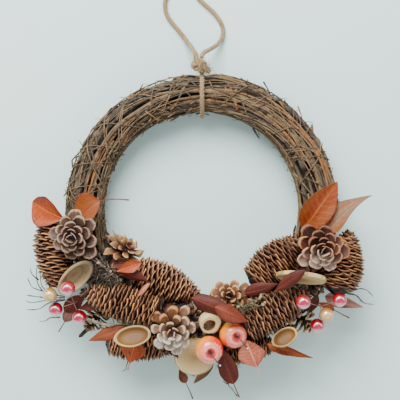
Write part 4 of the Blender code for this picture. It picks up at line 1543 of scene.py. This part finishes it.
# name, then stalk's end and tip by bearing, lean and lift, then width, stalk's share,
# bow, roll, finish, curl, twist, fold and peak
CAD_LEAVES = [
    ("leaf_top_left_outer", (184, 73, 0.030), (177, 38, 0.044), 0.047, 0.00, 0.004, -18, "rust",
     0.8, -10, 0.0, 1.5),
    ("leaf_top_left_inner", (172, 143, 0.041), (188, 70, 0.010), 0.038, 0.42, 0.004, 12, "ochre",
     0.5, 15, 0.1, 0.9),
    ("leaf_top_right_inner", (349, 119, 0.016), (12, 67, 0.025), 0.040, 0.00, 0.004, 0, "orange",
     0.4, 15, 0.1, 0.85),
    ("leaf_top_right_outer", (351, 78, 0.016), (5, 38, 0.045), 0.029, 0.00, 0.003, -20, "grey", 0.6,
     -25, 0.2, 0.45),
    ("leaf_centre", (263, 120, 0.051), (292, 95, 0.042), 0.024, 0.00, 0.004, 0, "maroon", -0.9, 30,
     0.0, 0.7),
    ("leaf_bottom_mossy", (281, 20, 0.060), (278, 69, 0.027), 0.024, 0.30, 0.003, 0, "maroon", 0.5,
     10, 0.1, 0.85),
    ("leaf_bottom_pink", (289, 29, 0.047), (289, 72, 0.029), 0.034, 0.28, 0.003, 0, "pink", 0.4,
     -10, 0.2, 1.35),
    ("leaf_bottom_small", (267, 14, 0.057), (262, 25, 0.028), 0.013, 0.55, 0.002, 0, "brown", 1.0,
     20, 0.1, 0.85),
    ("leaf_right_tip", (325, 33, 0.018), (329, 16, 0.056), 0.017, 0.00, 0.002, 0, "mauve", 0.6, 20,
     0.1, 0.6),
    ("leaf_lower_left", (237, 68, 0.025), (229, 31, 0.044), 0.020, 0.00, 0.003, 20, "tan", -0.7, 10,
     0.0, 0.7),
    ("leaf_right_orange", (296, 58, 0.032), (307, 29, 0.056), 0.013, 0.00, 0.002, 0, "orange", 0.7,
     30, 0.2, 0.6),
]
# name, then stalk's end and tip across, up and high, then as above
LOOSE_LEAVES = [
    ("leaf_mid_left", (-0.0915, -0.0590, 0.080), (-0.0560, -0.0745, 0.084), 0.020, 0.00, 0.003, 10,
     "maroon", -0.9, 20, 0.0, 0.8),
    ("leaf_mid_left_flap", (-0.0890, -0.0640, 0.086), (-0.0630, -0.0540, 0.089), 0.017, 0.0, 0.002,
     -10, "rust", 0.8, 20, 0.1, 1.4),
    ("leaf_mid_left_strip", (-0.0560, -0.0760, 0.088), (-0.0682, -0.0906, 0.086), 0.006, 0.0, 0.001,
     0, "pink", 0.6, 0, 0.1, 0.8),
    ("leaf_left_mauve", (-0.1560, -0.1330, 0.040), (-0.1370, -0.0960, 0.049), 0.018, 0.34, 0.002,
     10, "mauve", 0.9, 15, 0.0, 0.85),
    ("leaf_left_dark", (-0.1491, -0.1091, 0.050), (-0.1250, -0.0904, 0.060), 0.020, 0.0, 0.001, 0,
     "maroon", 0.4, 0, 0.0, 0.9),
    ("leaf_bottom_triangle", (-0.0795, -0.1705, 0.063), (-0.0700, -0.1350, 0.077), 0.034, 0.20,
     0.002, 0, "rust", 0.3, 0, 0.1, 1.8),
    ("leaf_bottom_grey", (0.0340, -0.1480, 0.048), (-0.0098, -0.1890, 0.034), 0.013, 0.46, 0.001,
     10, "grey", 0.8, 10, 0.0, 0.8),
    ("leaf_centre_lower", (0.0130, -0.0995, 0.0985), (0.0470, -0.1150, 0.094), 0.022, 0.0, 0.003,
     -10, "brick", -0.7, -20, 0.0, 0.9),
    ("leaf_right_maroon", (0.0440, -0.0870, 0.086), (0.0790, -0.0760, 0.094), 0.019, 0.0, 0.003, 10,
     "maroon", -0.8, 15, 0.0, 0.75),
    ("leaf_right_ribbon", (0.0740, -0.0850, 0.094), (0.1060, -0.0610, 0.108), 0.018, 0.0, 0.003,
     -10, "maroon", -0.8, 20, 0.0, 1.3),
    ("leaf_left_orange", (-0.1590, -0.0809, 0.048), (-0.1500, -0.0600, 0.054), 0.011, 0.0, 0.001, 0,
     "orange", 0.5, 0, 0.0, 0.9),
    ("leaf_right_tan", (0.1597, -0.1153, 0.048), (0.1240, -0.1000, 0.058), 0.010, 0.5, 0.001, 0,
     "tan", 0.5, 0, 0.0, 0.8),
]
ARCHED_LEAVES = {"leaf_top_left_inner": -0.011, "leaf_top_right_outer": 0.004}
# The bedded leaves are dark brown, partly their own colour and partly painted shade between the cones.
BEDDED_LEAVES = 30  # dark leaves wedged among the cones


def make_leaves():
    rng = random.Random(59)
    for rows, place, modelled in ((CAD_LEAVES, seat, True), (LOOSE_LEAVES, spot, False)):
        for name, root, tip, width, stalk, bow, roll, finish, *bends in rows:
            shape = heap()
            arch = ARCHED_LEAVES.get(name, 0.0)
            lay_leaf(shape, place(*root), place(*tip), width, stalk, bow, roll, rng, *bends, arch)
            label, nodes = (name + "_blade", [name]) if modelled else (name, ())
            show(label, shape, LEAF_FINISHES[finish], stands_for=nodes, rounds=1)
    # Dark brown leaves wedged among the cones, dark partly as painted shade.
    shape = heap()
    for _ in range(BEDDED_LEAVES):
        root = seat(rng.uniform(202, 342), rng.uniform(40, 150), rng.uniform(0.004, 0.014))
        way = random_way(rng, -0.2, 0.2).normalized()
        size = rng.uniform(0.022, 0.034)
        curl = rng.choice((-0.8, 0.8))
        lay_leaf(
            shape, root, root + way * size, size * 0.5, 0.1, 0.003, rng.uniform(-30, 30), rng, curl,
            20.0
        )
    show("bedded_leaves", shape, LEAF_FINISHES["brown"])


make_leaves()

# ---------------------------------------------------------------- lichen, moss and wiry twigs


def branch(into, rng, points, thick, tone, sides, taper, bumps=0, bump_size=1.5):
    """A knobbly branch through a few points."""
    route = [spot(*point) for point in points]
    path = smooth_route(route, max(8, int(length_of(route) / 0.0022)))
    lay_twig(into, path, thick, rng, tone, sides, taper)
    for _ in range(bumps):
        index = rng.randrange(1, len(path) - 1)
        knob = heap()
        size = thick * rng.uniform(0.5, 1.0) * bump_size
        bmesh.ops.create_icosphere(knob, subdivisions=2, radius=size)
        squash(knob, (rng.uniform(0.6, 1.2), rng.uniform(0.6, 1.2), 0.7))
        for corner in knob.verts:
            corner.co *= 1.0 + 0.35 * noise.noise(corner.co * 700.0 + Vector((index, 0, 0)))
        aside = random_way(rng, 0.2, 1.0).normalized()
        shift(knob, path[index] + aside * thick * 0.8)
        pour(into, knob, tone=rng.uniform(0.5, 1.0))


def tuft(into, rng, start, end, width, count, longest, thick, tones):
    """A matted clump of short fibres strewn along a line."""
    start, end = spot(*start), spot(*end)
    side = (end - start).normalized().cross(Vector((0, 0, 1)))
    for _ in range(count):
        share = rng.random()
        place = start.lerp(end, share) + side * rng.gauss(0.0, width * 0.4)
        place.z += rng.uniform(-0.002, 0.003)
        way = (end - start).normalized() * rng.uniform(-1, 1) + side * rng.uniform(-1, 1)
        way = (way + Vector((0, 0, rng.uniform(-0.2, 0.7)))).normalized()
        size = rng.uniform(0.3, 1.0) * longest
        bend = random_way(rng, -0.3, 1) * size * 0.35
        line = [place, place + way * size * 0.5 + bend, place + way * size]
        pour(into, sweep(line, [thick, thick * 0.9, thick * 0.4], 4), tone=rng.choice(tones))


FILLER_TWIGS = 46  # under the cones

# a wiry twig: its points across, up and high
WIRY_LEFT = [
    [(-0.1490, -0.0935, 0.044), (-0.1620, -0.0915, 0.042), (-0.1740, -0.0830, 0.040),
     (-0.1765, -0.0660, 0.040)],
    [(-0.1600, -0.0915, 0.042), (-0.1710, -0.0900, 0.040), (-0.1790, -0.0790, 0.041),
     (-0.1800, -0.0620, 0.042)],
    [(-0.1560, -0.0930, 0.043), (-0.1680, -0.0790, 0.043), (-0.1700, -0.0640, 0.043)],
    [(-0.1490, -0.0950, 0.043), (-0.1680, -0.0955, 0.040), (-0.1920, -0.0930, 0.037)],
    [(-0.1490, -0.0970, 0.042), (-0.1700, -0.0985, 0.039), (-0.1860, -0.1010, 0.037),
     (-0.1930, -0.0985, 0.036)],
    [(-0.1490, -0.0980, 0.042), (-0.1660, -0.1010, 0.039), (-0.1780, -0.1080, 0.037),
     (-0.1920, -0.1090, 0.035)],
    [(-0.1740, -0.0880, 0.040), (-0.1850, -0.0840, 0.039), (-0.1900, -0.0740, 0.039)],
    [(-0.1780, -0.0760, 0.040), (-0.1850, -0.0700, 0.040), (-0.1870, -0.0620, 0.040)],
    [(-0.1540, -0.1165, 0.042), (-0.1650, -0.1170, 0.041), (-0.1700, -0.1205, 0.039),
     (-0.1790, -0.1220, 0.038)],
    [(-0.0740, -0.1370, 0.041), (-0.0825, -0.1713, 0.043), (-0.0850, -0.1740, 0.042),
     (-0.0870, -0.1760, 0.041)],
    [(-0.0040, -0.1480, 0.031), (-0.0085, -0.1800, 0.034), (-0.0130, -0.1775, 0.034),
     (-0.0165, -0.1755, 0.033)],
    [(0.0150, -0.1470, 0.036), (0.0270, -0.1860, 0.044), (0.0330, -0.1950, 0.040),
     (0.0390, -0.2040, 0.036)],
    [(0.0290, -0.1890, 0.043), (0.0260, -0.1880, 0.042), (0.0230, -0.1860, 0.041)],
]
WIRY_RIGHT = [
    [(0.1600, -0.0890, 0.045), (0.1700, -0.0855, 0.044), (0.1790, -0.0870, 0.042),
     (0.1870, -0.0950, 0.040)],
    [(0.1580, -0.0910, 0.044), (0.1680, -0.0930, 0.042), (0.1760, -0.1010, 0.040),
     (0.1880, -0.1030, 0.038)],
    [(0.1450, -0.0840, 0.048), (0.1560, -0.0850, 0.046), (0.1640, -0.0890, 0.044)],
    [(0.1400, -0.0880, 0.048), (0.1540, -0.0900, 0.045), (0.1660, -0.0910, 0.043)],
]


# A branch has its points, thickness, tone, sides, taper, knobs and size of a knob. A tuft has
# its start and end, width, number of fibres, longest fibre, thickness and tones.
UNDERGROWTH = [
    ("lichen_branch", LICHEN, [
        (branch, [(-0.1300, -0.1110, 0.056), (-0.1252, -0.1153, 0.062), (-0.1013, -0.1215, 0.068),
                  (-0.0829, -0.1195, 0.072), (-0.0667, -0.1235, 0.070), (-0.0495, -0.1220, 0.068)],
         0.0017, 0.8, 8, 0.2, 26, 1.4),
        (branch, [(-0.088, -0.117, 0.072), (-0.078, -0.115, 0.076), (-0.066, -0.118, 0.073)],
         0.0022, 0.9, 8, 0.5, 22),
    ]),
    ("mossy_twig", MOSS, [
        (branch, [(0.0303, -0.1084, 0.086), (0.0420, -0.1030, 0.089), (0.0530, -0.0960, 0.090),
                  (0.0660, -0.0850, 0.090)], 0.0016, 0.3, 7, 0.3, 14, 1.3),
        (tuft, (0.030, -0.109, 0.087), (0.056, -0.094, 0.091), 0.008, 260, 0.007, 0.00022,
         (0.1, 0.3, 0.5, 0.9)),
        (branch, [(0.036, -0.106, 0.088), (0.038, -0.098, 0.092), (0.036, -0.091, 0.094)],
         0.0008, 0.4, 6, 0.3, 4, 2.4),
        (branch, [(0.050, -0.098, 0.090), (0.060, -0.099, 0.094), (0.067, -0.094, 0.096)],
         0.0008, 0.5, 6, 0.3, 5, 2.4),
        (tuft, (0.020, -0.160, 0.052), (0.034, -0.172, 0.048), 0.012, 200, 0.008, 0.0002,
         (0.1, 0.4, 0.8)),
    ]),
    ("fibrous_bark", FIBRE, [
        (tuft, (-0.124, -0.052, 0.076), (-0.090, -0.074, 0.080), 0.012, 460, 0.010, 0.00030,
         (0.0, 0.1, 0.2, 0.3, 0.5, 0.9)),
        (branch, [(-0.128, -0.046, 0.074), (-0.108, -0.056, 0.082), (-0.084, -0.075, 0.080)],
         0.0016, 0.3, 7, 0.5, 10),
        (branch, [(-0.112, -0.050, 0.080), (-0.098, -0.064, 0.084), (-0.080, -0.083, 0.078)],
         0.0009, 0.6, 6, 0.5),
    ]),
]
LOW_TWIG = [(-0.1204, -0.1260, 0.036), (-0.1280, -0.1330, 0.033), (-0.1351, -0.1394, 0.030)]


def make_undergrowth():
    rng = random.Random(67)
    for name, finish, parts in UNDERGROWTH:
        shape = heap()
        for lay, *numbers in parts:
            lay(shape, rng, *numbers)
        show(name, shape, finish)

    for name, lines in (("wiry_twigs_left", WIRY_LEFT), ("wiry_twigs_right", WIRY_RIGHT)):
        shape = heap()
        for points in lines:
            branch(shape, rng, points, 0.0007, rng.random(), 5, 0.4, 2, 1.3)
        show(name, shape, WIRY)

    # The low twig and the filler twigs under the cones wear the dark bark: their own dark bark, deepened
    # as painted shade between the cones.
    shape = heap()
    branch(shape, rng, LOW_TWIG, 0.0026, 0.2, 8, 0.2)
    for _ in range(FILLER_TWIGS):
        bearing, span = rng.uniform(196, 346), rng.uniform(10, 24)
        lean, swing = rng.uniform(20, 150), rng.uniform(-50, 50)
        reach = BUNDLE_REACH + rng.uniform(0.001, 0.006)
        points = twig_line(bearing, span, lean, swing, reach, rng, 0.004)
        thick, tone = rng.uniform(0.0008, 0.0022), rng.uniform(0.0, 0.5)
        lay_twig(shape, points, thick, rng, tone, 6, 0.5, stubs=1)
    show("filler_twigs", shape, BARK_DARK)


make_undergrowth()
